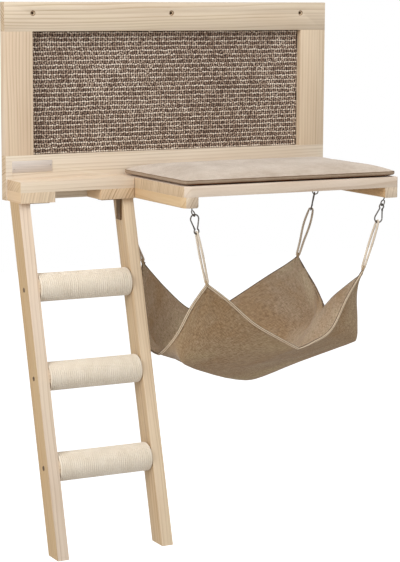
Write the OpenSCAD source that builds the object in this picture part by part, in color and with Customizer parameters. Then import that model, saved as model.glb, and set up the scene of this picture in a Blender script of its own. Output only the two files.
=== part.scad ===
// Wall-hung pet bed: framed board with a sisal panel, a step shelf, a large
// shelf with a cushion, a leaning ladder with rope-wound rungs, and a hammock
// hung by four snap hooks. Millimetres. X runs to the right, Y into the wall,
// Z up. The origin is the middle wall hole, on the board's back face.

/* [Board] */
// Width of the board
board_w = 700; // [500:1:900]
// Height of the board
board_h = 372; // [320:1:480]
// Thickness of the rails and side members
board_t = 20; // [18:0.5:26]
// Height of the top rail
top_rail_h = 55; // [44:1:80]
// Height of the bottom rail
bottom_rail_h = 84; // [60:1:110]
// Width of each side member
side_w = 57; // [40:1:80]
// Distance of the wall holes below the top edge
wall_hole_drop = 21; // [15:1:26]
// Distance between neighbouring wall holes
wall_hole_pitch = 292; // [200:1:300]
// Bore of the wall holes
wall_hole_d = 5; // [4:0.1:6]
// Countersink of the wall holes
wall_hole_head_d = 10; // [8:0.1:12]
// Thickness of the backing panel
backing_t = 3; // [2:0.5:3.5]
// Thickness of the sisal panel
sisal_t = 3.5; // [2:0.5:6]
// Width of the rebate that holds the backing panel
rebate_w = 10; // [6:0.5:14]
// Depth of the rebate
rebate_t = 4; // [3.5:0.5:6]
// Dowel diameter
dowel_d = 8; // [6:0.5:9]
// Dowel length
dowel_l = 40; // [30:1:50]

/* [Nameplate] */
// Width of the bare plate
plate_w = 82; // [60:1:100]
// Height of the bare plate
plate_h = 22; // [16:1:30]
// Thickness of the bare plate
plate_t = 0.8; // [0.5:0.1:1.5]
// Distance from the board's left edge
plate_left = 13; // [8:1:30]
// Distance of the plate above the board's bottom edge
plate_up = 52; // [44:1:56]

/* [Shelves] */
// Thickness of the planks
plank_t = 20; // [16:0.5:24]
// Thickness of the cleats under the planks
cleat_t = 20; // [18:0.5:26]
// Width of the step shelf
step_w = 235; // [200:1:280]
// Depth of the step shelf
step_d = 65; // [60:1:90]
// Width of each step cleat
step_cleat_w = 70; // [60:1:90]
// Distance of the step shelf from the board's left edge
step_in = 3; // [0:1:20]
// Gap between the two shelves
shelf_gap = 1; // [0.5:0.5:5]
// Width of the large shelf
shelf_w = 467; // [380:1:520]
// Depth of the large shelf
shelf_d = 270; // [220:1:320]
// Corner radius of the large shelf's front left corner
shelf_corner_r = 18; // [10:1:24]
// Corner radius of the large shelf's front right corner
shelf_right_r = 4; // [3:1:24]
// Width of each cleat under the large shelf
shelf_cleat_w = 30; // [28:1:40]
// Radius of the rounded lower edges of these cleats
cleat_r = 4; // [2:0.5:6]

/* [Cushion] */
// Distance of the cushion's sides from the shelf's sides
cushion_side_in = 3.5; // [1:0.5:20]
// Distance of the cushion from the shelf's front edge and from the board
cushion_front_in = 4; // [1:0.5:20]
// Height of the cushion at its crown
cushion_h = 26; // [22:1:36]
// Height of the boxed edge
cushion_edge_h = 10; // [8:1:20]
// Corner radius of the cushion
cushion_r = 12; // [8:1:30]
// Inset at which the crown has most of its height
cushion_crown_in = 40; // [30:1:50]

/* [Ladder] */
// Lean of the ladder from upright
lean = 15; // [10:1:18]
// Width of each stile seen from the front
stile_w = 22.5; // [18:0.5:26]
// Overhang of the left stile past the end of the step plank
stile_out_left = 0.5; // [0:0.5:2]
// Overhang of the right stile past the end of the step plank
stile_out_right = 1.5; // [0:0.5:2]
// Depth of each stile, square to its slope
stile_t = 42; // [36:1:48]
// Upright height from foot to cleat
ladder_h = 644; // [600:4:760]
// Distance of the stile's top front edge from the board's front
ladder_out = 56; // [50:1:62]
// Diameter over the rope of a rung
rung_d = 55; // [52:1:60]
// Diameter of the round rod inside the rope
rung_core_d = 46; // [42:0.5:48]
// Rise of each rung above its even place, from the top rung down
rung_lift = [3.5, 2.5, 0];
// Turns of the winding on each rung
rung_turns = 18; // [12:1:20]
// Bracket width
bracket_w = 19; // [14:1:22]
// Distance of the bracket behind the stile's top front edge
bracket_back = 4; // [2:0.5:12]
// Distance of a bracket's screws from the ends of its legs
bracket_screw_in = 9; // [8:0.5:12]
// Length of each bracket leg
bracket_leg = 42; // [30:1:46]
// Bracket thickness
bracket_t = 2.5; // [2:0.1:3]

/* [Screws] */
// Thread diameter of the wood screws
screw_d = 4.5; // [4:0.1:5]
// Head diameter of the wood screws
screw_head_d = 8.5; // [8:0.1:9.5]
// Length of the screws through the cleats
cleat_screw_l = 32; // [28:1:34]
// Length of the screws through the board and the stiles
long_screw_l = 50; // [44:1:55]
// Thread diameter of the bracket screws
small_screw_d = 3.5; // [3:0.1:4]
// Length of the bracket screws
small_screw_l = 15; // [12:1:17]
// Distance of the step's cleat screws from its front and back edges
step_screw_in = 15; // [12:1:20]
// Distance of the large shelf's cleat screws from its front and back edges
shelf_screw_in = 60; // [50:1:80]
// Distance of the board screws from the ends of the planks
board_screw_in = 18; // [14:1:24]
// Diameter of the panel nails
nail_d = 1.6; // [1.2:0.1:2]
// Length of the panel nails
nail_l = 12; // [10:1:14]

/* [Suspension] */
// Distance of the front eyes behind the shelf's front edge
eye_front = 17; // [14:1:24]
// Distance of the back eyes in front of the board
eye_back = 14; // [12:1:24]
// Front left eye from the outer side of its cleat
eye_in_fl = 24; // [20:1:25]
// Back left eye from the outer side of its cleat
eye_in_bl = 12; // [10:1:20]
// Front right eye from the outer side of its cleat
eye_in_fr = 20; // [14:1:24]
// Back right eye from the outer side of its cleat
eye_in_br = 27; // [18:1:28]
// Wire of the screw eyes
eye_wire = 2.6; // [2.2:0.1:2.8]
// Radius of the eye's ring, to the middle of its wire
eye_r = 5.6; // [5.4:0.1:6.5]
// Neck between the cleat and the ring
eye_neck = 6.3; // [5:0.1:8]
// Length of the threaded end in the cleat
eye_thread_l = 15; // [10:1:16]
// Overall length of a snap hook
hook_l = 40; // [38:1:46]
// Wire of a snap hook
hook_wire = 3.2; // [2.8:0.1:3.3]
// Radius of the hook's large end, to the middle of its wire
hook_big_r = 8.4; // [8:0.1:9]
// Radius of the hook's small end, to the middle of its wire
hook_small_r = 4.8; // [4.7:0.1:5.2]
// Half of the distance across the hook's waist
hook_waist = 2.75; // [2.5:0.05:3]
// Diameter of the gate bar
gate_d = 2.6; // [2.2:0.1:2.8]
// Diameter of the gate's rivet
rivet_d = 1.2; // [1:0.1:1.4]
// Diameter of the hanging rope
rope_d = 4.4; // [3.6:0.1:4.6]
// Spread of each rope strand below its hook
loop_spread = 1.9; // [1.5:0.1:3]
// Half of the distance between the strands at the cloth
loop_foot_half = 2.5; // [2.3:0.1:3]

/* [Hammock] */
// Distance of the cloth's net from the large shelf's left side
hang_in_left = 23; // [15:1:40]
// Distance of the cloth's net from the large shelf's right side
hang_in_right = 24; // [15:1:40]
// Distance of the cloth's net from the large shelf's front
hang_in_front = 17; // [10:1:40]
// Distance of the cloth's net from the board
hang_in_back = 14; // [10:1:40]
// Thickness of the cloth
cloth_t = 2; // [1.5:0.1:2.6]
// Diameter of the piping along the cloth's edge
piping_d = 4.6; // [4:0.1:6]
// Depth of the hammock's lowest part below the hooks' tops
hammock_drop = 346; // [320:1:380]

/* [Fits] */
// Clearance all round the backing and sisal panels
panel_fit = 0.5; // [0.3:0.1:1]
// Radial clearance of a dowel in its bore
dowel_fit = 0.05; // [0.03:0.01:0.1]
// Clearance at each end of a dowel
dowel_end = 1; // [0.5:0.1:2]
// Radial clearance of a screw in its hole
screw_fit = 0.05; // [0.03:0.01:0.1]
// Height by which a screw head lies below the surface
head_sink = 0.2; // [0.1:0.05:0.5]
// Gap between the cushion and the shelf it lies on
soft_gap = 0.3; // [0.2:0.05:0.5]
// Radial running clearance of a gate on its rivet
pivot_fit = 0.05; // [0.03:0.01:0.1]
// Radial clearance of the rivet in the hook
rivet_fit = 0.02; // [0.01:0.01:0.05]
// Side clearance of a gate's cheeks
cheek_fit = 0.1; // [0.05:0.05:0.2]
// Gap between a hook and the ring it hangs on
hang_gap = 0.12; // [0.1:0.01:0.2]
// Gap between a rope and the hook inside it
loop_gap = 0.3; // [0.2:0.05:0.5]
// Gap between neighbouring turns of a winding
turn_gap = 0.55; // [0.5:0.05:0.8]
// Gap between the piping and the cloth's edge
pipe_gap = 0.4; // [0.3:0.1:0.8]
// Gap between the rope loops and the cloth corners
corner_gap = 0.6; // [0.4:0.1:0.9]

/* [Hidden] */

pine = [0.87, 0.76, 0.58];
steel = [0.35, 0.34, 0.33];
cotton = [0.88, 0.82, 0.70];

left = -board_w / 2;
top = wall_hole_drop;
bottom = top - board_h;
open_x = board_w / 2 - side_w;
open_top = top - top_rail_h;
open_bottom = bottom + bottom_rail_h;
dowel_x = [-board_w / 2 + side_w * 0.3, -board_w / 2 + side_w * 0.7,
    board_w / 2 - side_w * 0.7, board_w / 2 - side_w * 0.3];
small_n = 13;
dowel_y = -board_t / 2 - 2;

cleat_z = bottom;
plank_z = bottom + cleat_t;
plank_top = plank_z + plank_t;
front_y = -board_t;
step_x = left + step_in;
shelf_x = step_x + step_w + shelf_gap;
shelf_right = shelf_x + shelf_w;
screw_z = plank_z + plank_t / 2;

stile_y = stile_t / cos(lean);
stile_top_y = front_y - ladder_out;
foot_z = cleat_z - ladder_h;
ladder_x = step_x - stile_out_left;
ladder_end = step_x + step_w + stile_out_right;
rung_span = ladder_end - ladder_x - 2 * stile_w;
rung_x = ladder_x + stile_w;
rung_pitch = ladder_h / 4;
rung_end = 4;
rung_lead = 4.2;
rung_per_turn = 9;
turn_pitch = (rung_span - 2 * (rung_end + rung_lead)) / rung_turns;
core_gap = 0.12;
wound_in = (rung_core_d / 2 + core_gap) / cos(180 / rung_per_turn);
wound_mid = (rung_d / 2 + wound_in) / 2;
wound_h = (rung_d / 2 - wound_in) / 2;
wound_w = (turn_pitch - turn_gap) / 2;

eye_tilt = [20, -20, 8, -24];
eye_x = [shelf_x + eye_in_fl, shelf_right - eye_in_fr, shelf_x + eye_in_bl, shelf_right - eye_in_br];
eye_y = [front_y - shelf_d + eye_front, front_y - shelf_d + eye_front,
    front_y - eye_back, front_y - eye_back];
eye_len = eye_neck + 2 * eye_r;
cushion_w = shelf_w - 2 * cushion_side_in;
cushion_d = shelf_d - 2 * cushion_front_in;
hook_turn = [0, 0, 62, 62];
hook_lean = [-10, 17, -8, 13];
hook_flip = [0, 180, 0, 0];
pivots = [for (i = [0:3]) [eye_x[i] + eye_len * sin(eye_tilt[i]), eye_y[i],
    cleat_z - eye_len * cos(eye_tilt[i])]];

hook_top = eye_wire / 2 + hang_gap + hook_wire / 2;
hook_low = hook_top - (hook_l - hook_wire);
big_z = hook_top - hook_big_r;
small_z = hook_low + hook_small_r;
waist_z = small_z + sqrt(hook_small_r * hook_small_r - hook_waist * hook_waist);
waist_a = acos(hook_waist / hook_small_r);
tangent_a = acos(hook_big_r / norm([hook_waist, waist_z - big_z]))
    + atan2(waist_z - big_z, hook_waist);
nose_a = 188;
nose = [hook_big_r * cos(nose_a), 0, big_z + hook_big_r * sin(nose_a)];
gate_pivot = [-hook_waist - 0.4, 0, waist_z + 1.1];
gate_reach = norm(nose - gate_pivot) - 0.35;
tab_t = 1.2;
cheek_t = 0.8;
cheek_d = 2.6;

// Cloth: share of the way from the left to the right eyes, share of the way
// from the front to the back eyes, and drop below the hooks, front row first.
cloth_rows = [
    [[0.09, 0.03, 127], [0.34, 0.06, 208], [0.59, 0.09, 268], [0.79, 0.07, 214], [0.91, 0.03, 121]],
    [[0.03, 0.24, 206], [0.06, 0.25, 287], [0.40, 0.33, 332], [0.905, 0.21, 272], [0.92, 0.28, 163]],
    [[0.01, 0.62, 284], [0.23, 0.51, 322], [0.45, 0.49, 346], [0.72, 0.51, 312], [0.93, 0.65, 222]],
    [[0.00, 0.83, 212], [0.07, 0.81, 282], [0.40, 0.74, 322], [0.89, 0.79, 257], [0.92, 0.81, 180]],
    [[0.03, 0.95, 112], [0.15, 0.93, 167], [0.35, 0.91, 224], [0.69, 0.93, 167], [0.87, 0.95, 122]]];
cloth_n = 14;
hang_x = [shelf_x + hang_in_left, shelf_right - hang_in_right];
hang_y = [front_y - shelf_d + hang_in_front, front_y - hang_in_back];
hang_z = cleat_z - 17.5;

function clamp(i, n) = min(max(i, 0), n);
function spline(a, b, c, d, t) = 0.5 * (2 * b + (c - a) * t
    + (2 * a - 5 * b + 4 * c - d) * t * t + (3 * b - a - 3 * c + d) * t * t * t);
function cloth_place(p) = [hang_x[0] + p[0] * (hang_x[1] - hang_x[0]),
    hang_y[0] + p[1] * (hang_y[1] - hang_y[0]), hang_z - p[2] * hammock_drop / 346];
function row_at(row, u) = let (k = clamp(floor(u * 4), 3), t = u * 4 - k)
    spline(cloth_place(row[clamp(k - 1, 4)]), cloth_place(row[k]), cloth_place(row[k + 1]),
        cloth_place(row[clamp(k + 2, 4)]), t);
function cloth_at(u, v) = let (k = clamp(floor(v * 4), 3), t = v * 4 - k)
    spline(row_at(cloth_rows[clamp(k - 1, 4)], u), row_at(cloth_rows[k], u),
        row_at(cloth_rows[k + 1], u), row_at(cloth_rows[clamp(k + 2, 4)], u), t);
function unit(v) = v / norm(v);
function cloth_normal(u, v) = unit(cross(cloth_at(min(u + 0.01, 1), v) - cloth_at(max(u - 0.01, 0), v),
    cloth_at(u, min(v + 0.01, 1)) - cloth_at(u, max(v - 0.01, 0))));
cloth_corners = [cloth_at(0, 0), cloth_at(1, 0), cloth_at(0, 1), cloth_at(1, 1)];

// Ring of section points around p: across and up are half-size vectors.
function ring(p, across, up, n) = [for (k = [0:n - 1]) p + across * cos(k * 360 / n)
    + up * sin(k * 360 / n)];

module skin(rings, closed = false) {
    n = len(rings[0]);
    m = len(rings);
    points = [for (r = rings) each r];
    sides = [for (i = [0:m - (closed ? 1 : 2)], k = [0:n - 1])
        let (a = i * n + k, b = i * n + (k + 1) % n,
            c = ((i + 1) % m) * n + k, d = ((i + 1) % m) * n + (k + 1) % n)
        each [[a, c, b], [b, c, d]]];
    caps = closed ? [] : [[for (k = [0:n - 1]) k], [for (k = [n - 1:-1:0]) (m - 1) * n + k]];
    polyhedron(points = points, faces = concat(sides, caps));
}

module screw(l, d, head_d) {
    cone = (head_d - d) / 2;
    translate([0, 0, -head_sink - cone])
        cylinder(h = cone, d1 = d, d2 = head_d, $fn = small_n);
    translate([0, 0, -l])
        cylinder(h = l - head_sink - cone + 0.01, d = d, $fn = small_n);
}

module screw_hole(l, d, head_d) {
    cone = (head_d - d) / 2;
    fit = screw_fit / cos(180 / small_n);
    h = cone + head_sink + fit / 2 + 0.5;
    translate([0, 0, 0.5 - h])
        cylinder(h = h, d1 = d + 2 * fit, d2 = d + 2 * fit + 2 * h, $fn = small_n);
    translate([0, 0, -l - 0.5])
        cylinder(h = l + 0.5, d = d + 2 * fit, $fn = small_n);
}

// Places of the screws: [point, rotation]
step_spots = [for (x = [step_x + step_cleat_w / 2, step_x + step_w - step_cleat_w / 2],
    y = [front_y - step_screw_in, front_y - step_d + step_screw_in]) [[x, y, cleat_z], [180, 0, 0]]];
shelf_spots = [for (x = [shelf_x + shelf_cleat_w / 2, shelf_right - shelf_cleat_w / 2],
    y = [front_y - shelf_screw_in, front_y - shelf_d + shelf_screw_in]) [[x, y, cleat_z], [180, 0, 0]]];
board_spots = [for (x = [step_x + board_screw_in, step_x + step_w - board_screw_in,
    shelf_x + 2 * board_screw_in, min(shelf_right, -left) - 2 * board_screw_in])
    [[x, 0, screw_z], [-90, 0, 0]]];

function rung_z(i) = cleat_z - i * rung_pitch + rung_lift[i - 1];
function rung_y(i) = stile_top_y + stile_y / 2 - i * rung_pitch * tan(lean);
rung_spots = [for (i = [1:3], side = [0, 1])
    [[side == 0 ? ladder_x : ladder_end, rung_y(i), cleat_z - i * rung_pitch], [0, side == 0 ? -90 : 90, 0]]];

bracket_y = stile_top_y + bracket_back + bracket_w / 2;
bracket_in = [ladder_x + stile_w, ladder_end - stile_w];
bracket_spots = [for (s = [0, 1]) each let (d = s == 0 ? 1 : -1) [
    [[bracket_in[s] + d * bracket_t, bracket_y, cleat_z - bracket_leg + bracket_screw_in], [0, 90 * d, 0]],
    [[bracket_in[s] + d * (bracket_leg - bracket_screw_in), bracket_y, cleat_z - bracket_t], [180, 0, 0]]]];

module screws_at(spots, l, d, head_d) {
    for (s = spots)
        translate(s[0]) rotate(s[1]) screw(l, d, head_d);
}

module holes_at(spots, l, d, head_d) {
    for (s = spots)
        translate(s[0]) rotate(s[1]) screw_hole(l, d, head_d);
}

module box(x0, x1, y0, y1, z0, z1) {
    translate([x0, y0, z0]) cube([x1 - x0, y1 - y0, z1 - z0]);
}

module dowel_bores(z) {
    for (x = dowel_x)
        translate([x, dowel_y, z - dowel_l / 2 - dowel_end])
            cylinder(h = dowel_l + 2 * dowel_end, d = dowel_d + 2 * dowel_fit, $fn = small_n);
}

nail_edge = rebate_w / 2;
nail_spots = [for (x = [-open_x * 0.6, open_x * 0.6],
    z = [open_bottom - nail_edge, open_top + nail_edge]) [x, z]];
side_nails = [for (x = [-open_x - nail_edge, open_x + nail_edge]) [x, (open_top + open_bottom) / 2]];

module nails_at(spots, grow) {
    for (s = spots) {
        translate([s[0], -rebate_t + backing_t, s[1]]) rotate([90, 0, 0])
            translate([0, 0, -(grow > 0 ? 1 : 0)])
                cylinder(h = nail_l + (grow > 0 ? 1.3 : 0), d = nail_d + 2 * grow, $fn = small_n);
    }
}

module rebate() {
    box(-open_x - rebate_w, open_x + rebate_w, -rebate_t, 1,
        open_bottom - rebate_w, open_top + rebate_w);
}

module board_top_rail() {
    color(pine) difference() {
        box(left, -left, -board_t, 0, open_top, top);
        rebate();
        for (x = [-wall_hole_pitch, 0, wall_hole_pitch]) translate([x, 0, 0]) rotate([90, 0, 0]) {
            translate([0, 0, -1]) cylinder(h = board_t + 2, d = wall_hole_d, $fn = 18);
            translate([0, 0, board_t - (wall_hole_head_d - wall_hole_d) / 2])
                cylinder(h = (wall_hole_head_d - wall_hole_d) / 2 + 0.01, d1 = wall_hole_d,
                    d2 = wall_hole_head_d + 0.02, $fn = 18);
        }
        dowel_bores(open_top);
        nails_at(nail_spots, screw_fit);
    }
}

module board_bottom_rail() {
    color(pine) difference() {
        box(left, -left, -board_t, 0, bottom, open_bottom);
        rebate();
        dowel_bores(open_bottom);
        holes_at(board_spots, long_screw_l, screw_d, screw_head_d);
        nails_at(nail_spots, screw_fit);
    }
}

module board_side(x0, x1) {
    color(pine) difference() {
        box(x0, x1, -board_t, 0, open_bottom, open_top);
        rebate();
        dowel_bores(open_top);
        dowel_bores(open_bottom);
        nails_at(side_nails, screw_fit);
    }
}

module board_side_left() {
    board_side(left, -open_x);
}

module board_side_right() {
    board_side(open_x, -left);
}

module backing_panel() {
    f = rebate_w - panel_fit;
    color([0.62, 0.48, 0.33]) difference() {
        box(-open_x - f, open_x + f, -rebate_t, -rebate_t + backing_t, open_bottom - f, open_top + f);
        nails_at(concat(nail_spots, side_nails), screw_fit);
    }
}

module sisal_panel() {
    color([0.66, 0.60, 0.51])
        box(-open_x + panel_fit, open_x - panel_fit, -rebate_t - sisal_t, -rebate_t,
            open_bottom + panel_fit, open_top - panel_fit);
}

module nameplate() {
    color([0.80, 0.80, 0.80])
        box(left + plate_left, left + plate_left + plate_w, -board_t - plate_t, -board_t,
            bottom + plate_up, bottom + plate_up + plate_h);
}

module frame_dowels() {
    color([0.80, 0.66, 0.46]) for (z = [open_top, open_bottom], x = dowel_x)
        translate([x, dowel_y, z - dowel_l / 2]) cylinder(h = dowel_l, d = dowel_d, $fn = small_n);
}

module panel_nails() {
    color(steel) nails_at(concat(nail_spots, side_nails), 0);
}

module step_plank() {
    color(pine) difference() {
        box(step_x, step_x + step_w, front_y - step_d, front_y, plank_z, plank_top);
        holes_at(step_spots, cleat_screw_l, screw_d, screw_head_d);
        holes_at(board_spots, long_screw_l, screw_d, screw_head_d);
    }
}

module step_cleat(x) {
    color(pine) difference() {
        box(x, x + step_cleat_w, front_y - step_d, front_y, cleat_z, plank_z);
        holes_at(step_spots, cleat_screw_l, screw_d, screw_head_d);
        holes_at(bracket_spots, small_screw_l, small_screw_d, small_screw_d + 3);
    }
}

module step_cleat_left() {
    step_cleat(step_x);
}

module step_cleat_right() {
    step_cleat(step_x + step_w - step_cleat_w);
}

module step_screws() {
    color(steel) screws_at(step_spots, cleat_screw_l, screw_d, screw_head_d);
}

// Middle and radius of the two front corners
shelf_corners = [[shelf_x + shelf_corner_r, front_y - shelf_d + shelf_corner_r, shelf_corner_r],
    [shelf_right - shelf_right_r, front_y - shelf_d + shelf_right_r, shelf_right_r]];

module shelf_plank() {
    color(pine) difference() {
        translate([0, 0, plank_z]) linear_extrude(height = plank_t) hull() {
            translate([shelf_x, front_y - shelf_corner_r]) square([shelf_w, shelf_corner_r]);
            for (c = shelf_corners) translate([c[0], c[1]]) circle(r = c[2], $fn = 28);
        }
        holes_at(shelf_spots, cleat_screw_l, screw_d, screw_head_d);
        holes_at(board_spots, long_screw_l, screw_d, screw_head_d);
    }
}

module eye_bores() {
    for (i = [0:3]) translate([eye_x[i], eye_y[i], cleat_z]) rotate([0, -eye_tilt[i], 0])
        translate([0, 0, -3])
            cylinder(h = eye_thread_l + 3.5, d = eye_wire + 0.2 + 2 * screw_fit, $fn = small_n);
}

module shelf_cleat(x) {
    r = cleat_r;
    color(pine) difference() {
        translate([0, front_y, 0]) rotate([90, 0, 0]) linear_extrude(height = shelf_d) union() {
            translate([x, cleat_z + r]) square([shelf_cleat_w, cleat_t - r]);
            translate([x + r, cleat_z]) square([shelf_cleat_w - 2 * r, cleat_t]);
            for (c = [x + r, x + shelf_cleat_w - r])
                translate([c, cleat_z + r]) circle(r = r, $fn = 16);
        }
        difference() {
            box(x - 1, x + shelf_cleat_w + 1, front_y - shelf_d - 1, front_y - shelf_d + shelf_corner_r,
                cleat_z - 1, plank_z + 1);
            translate([0, 0, cleat_z - 2]) linear_extrude(height = cleat_t + 4) hull() {
                for (c = shelf_corners) translate([c[0], c[1]]) circle(r = c[2], $fn = 28);
                translate([shelf_x, front_y - shelf_corner_r]) square([shelf_w, shelf_corner_r]);
            }
        }
        holes_at(shelf_spots, cleat_screw_l, screw_d, screw_head_d);
        eye_bores();
    }
}

module shelf_cleat_left() {
    shelf_cleat(shelf_x);
}

module shelf_cleat_right() {
    shelf_cleat(shelf_right - shelf_cleat_w);
}

module shelf_screws() {
    color(steel) screws_at(shelf_spots, cleat_screw_l, screw_d, screw_head_d);
}

module board_screws() {
    color(steel) screws_at(board_spots, long_screw_l, screw_d, screw_head_d);
}

// Cushion: closed outline at an inset from the full size
function cushion_ring(inset, z) = let (hx = cushion_w / 2 - inset, hy = cushion_d / 2 - inset,
        r = max(cushion_r - inset, cushion_r * 0.35), c = [hx - r, hy - r])
    [for (q = [0:3], k = [0:4]) let (a = q * 90 + k * 22.5,
            sx = q == 0 || q == 3 ? 1 : -1, sy = q < 2 ? 1 : -1)
        [cushion_mid[0] + sx * c[0] + r * cos(a), cushion_mid[1] + sy * c[1] + r * sin(a),
            plank_top + soft_gap + z]];
cushion_mid = [shelf_x + shelf_w / 2, front_y - shelf_d / 2];
cushion_side = 4;
rise = cushion_h - cushion_edge_h;

module cushion() {
    e = cushion_edge_h;
    color([0.80, 0.72, 0.63]) skin([
        cushion_ring(22, 0), cushion_ring(5, 0.6), cushion_ring(0, 2.4), cushion_ring(cushion_side, e / 2),
        cushion_ring(0, e - 0.8), cushion_ring(3, e + rise * 0.12), cushion_ring(0.4 * cushion_crown_in, e + rise * 0.45),
        cushion_ring(cushion_crown_in, e + rise * 0.78), cushion_ring(2 * cushion_crown_in, e + rise * 0.97),
        cushion_ring(cushion_d / 2 - 0.4 * cushion_crown_in, cushion_h)]);
}

module ladder_stile(x) {
    color(pine) difference() {
        translate([x, 0, 0]) rotate([90, 0, 90]) linear_extrude(height = stile_w) polygon([
            [stile_top_y, cleat_z], [stile_top_y + stile_y, cleat_z],
            [stile_top_y + stile_y - ladder_h * tan(lean), foot_z],
            [stile_top_y - ladder_h * tan(lean), foot_z]]);
        holes_at(rung_spots, long_screw_l, screw_d, screw_head_d);
        holes_at(bracket_spots, small_screw_l, small_screw_d, small_screw_d + 3);
    }
}

module ladder_stile_left() {
    ladder_stile(ladder_x);
}

module ladder_stile_right() {
    ladder_stile(ladder_end - stile_w);
}

module rung_core(i) {
    color([0.80, 0.68, 0.50]) difference() {
        translate([rung_x, rung_y(i), rung_z(i)]) rotate([0, 90, 0])
            cylinder(h = rung_span, d = rung_core_d, $fn = 24);
        holes_at(rung_spots, long_screw_l, screw_d, screw_head_d);
    }
}

module rung_core_1() {
    rung_core(1);
}

module rung_core_2() {
    rung_core(2);
}

module rung_core_3() {
    rung_core(3);
}

// Winding of one rung: axial place and angle of each point of the rope
wound_start = rung_end + rung_lead;
wound_route = concat([[0, 0], [rung_end, 0]],
    [for (k = [1:rung_turns * rung_per_turn - 1])
        [wound_start + (k - 1) * (rung_span - 2 * wound_start) / (rung_turns * rung_per_turn - 2),
            k * 360 / rung_per_turn]],
    [[rung_span - rung_end, 0], [rung_span, 0]]);
wound_points = [for (p = wound_route) [p[0], wound_mid * cos(p[1]), wound_mid * sin(p[1])]];
wound_last = len(wound_route) - 1;
function wound_dir(i) = i == 0 || i == wound_last ? [1, 0, 0]
    : unit(unit(wound_points[i] - wound_points[i - 1]) + unit(wound_points[i + 1] - wound_points[i]));
function wound_out(i) = [0, cos(wound_route[i][1]), sin(wound_route[i][1])];
wound_rings = [for (i = [0:wound_last])
    ring(wound_points[i], unit(cross(wound_dir(i), wound_out(i))) * wound_w, wound_out(i) * wound_h, 4)];
wound_gap = min([for (i = [0:wound_last - rung_per_turn - 1], j = [-1, 0, 1], a = wound_rings[i],
    b = wound_rings[i + rung_per_turn + j]) norm(a - b)]);
echo(least_gap_of_rung_winding = wound_gap, turns = rung_turns, turn_pitch = turn_pitch);

module rung_rope(i) {
    color(cotton) translate([rung_x, rung_y(i), rung_z(i)]) skin(wound_rings);
}

module rung_rope_1() {
    rung_rope(1);
}

module rung_rope_2() {
    rung_rope(2);
}

module rung_rope_3() {
    rung_rope(3);
}

module rung_screws() {
    color(steel) screws_at(rung_spots, long_screw_l, screw_d, screw_head_d);
}

module ladder_bracket(s) {
    d = s == 0 ? 1 : -1;
    color(steel) difference() {
        translate([bracket_in[s], bracket_y + bracket_w / 2, cleat_z]) rotate([90, 0, 0])
            linear_extrude(height = bracket_w) polygon([[0, 0], [d * bracket_leg, 0],
                [d * bracket_leg, -bracket_t], [d * bracket_t, -bracket_t],
                [d * bracket_t, -bracket_leg], [0, -bracket_leg]]);
        holes_at(bracket_spots, small_screw_l, small_screw_d, small_screw_d + 3);
    }
}

module ladder_bracket_left() {
    ladder_bracket(0);
}

module ladder_bracket_right() {
    ladder_bracket(1);
}

module bracket_screws() {
    color(steel) screws_at(bracket_spots, small_screw_l, small_screw_d, small_screw_d + 3);
}

module screw_eye(i) {
    color(steel) translate([eye_x[i], eye_y[i], cleat_z]) rotate([0, -eye_tilt[i], 0]) {
        translate([0, 0, -eye_neck]) cylinder(h = eye_neck + eye_thread_l, d = eye_wire + 0.2, $fn = small_n);
        translate([0, 0, -eye_neck - eye_r]) rotate([0, 0, hook_turn[i]]) rotate([0, 90, 0])
            rotate_extrude($fn = 16) translate([eye_r, 0]) circle(d = eye_wire, $fn = 6);
    }
}

module screw_eye_fl() {
    screw_eye(0);
}

module screw_eye_fr() {
    screw_eye(1);
}

module screw_eye_bl() {
    screw_eye(2);
}

module screw_eye_br() {
    screw_eye(3);
}

// Carries a hook's own frame to its place on the ring
module at_hook(i) {
    translate(pivots[i]) rotate([0, hook_lean[i], 0]) rotate([0, 0, hook_turn[i]])
        translate([0, 0, hook_flip[i] == 0 ? 0 : hook_top + hook_low]) rotate([0, hook_flip[i], 0])
            children();
}

module wire_arc(r, z, a, sweep, segments) {
    translate([0, 0, z]) rotate([90, 0, 0]) rotate([0, 0, a])
        rotate_extrude(angle = sweep, $fn = segments) translate([r, 0]) circle(d = hook_wire, $fn = 6);
}

module bar(a, b, d, n) {
    v = b - a;
    translate(a) rotate([0, acos(v[2] / norm(v)), atan2(v[1], v[0])])
        cylinder(h = norm(v), d = d, $fn = n);
}

module hook(i) {
    color(steel) at_hook(i) difference() {
        union() {
            wire_arc(hook_big_r, big_z, tangent_a, nose_a - tangent_a, 20);
            bar([hook_big_r * cos(tangent_a), 0, big_z + hook_big_r * sin(tangent_a)],
                [hook_waist, 0, waist_z], hook_wire, 8);
            translate([hook_waist, 0, waist_z]) sphere(d = hook_wire, $fn = 8);
            difference() {
                union() {
                    wire_arc(hook_small_r, small_z, 180 - waist_a, 180 + 2 * waist_a, 16);
                    bar([-hook_waist, 0, waist_z - 1.2], gate_pivot, hook_wire, 8);
                }
                for (y = [tab_t / 2, -tab_t / 2 - 4])
                    translate(gate_pivot + [-4, y, -cheek_d / 2 - 0.3]) cube([8, 4, 8]);
            }
            translate(gate_pivot) rotate([90, 0, 0])
                cylinder(h = tab_t, d = hook_wire, center = true, $fn = small_n);
        }
        translate(gate_pivot) rotate([90, 0, 0])
            cylinder(h = 8, d = rivet_d + 2 * rivet_fit, center = true, $fn = small_n);
    }
}

module hook_fl() {
    hook(0);
}

module hook_fr() {
    hook(1);
}

module hook_bl() {
    hook(2);
}

module hook_br() {
    hook(3);
}

gate_lean = atan2(nose[0] - gate_pivot[0], nose[2] - gate_pivot[2]);

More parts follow.
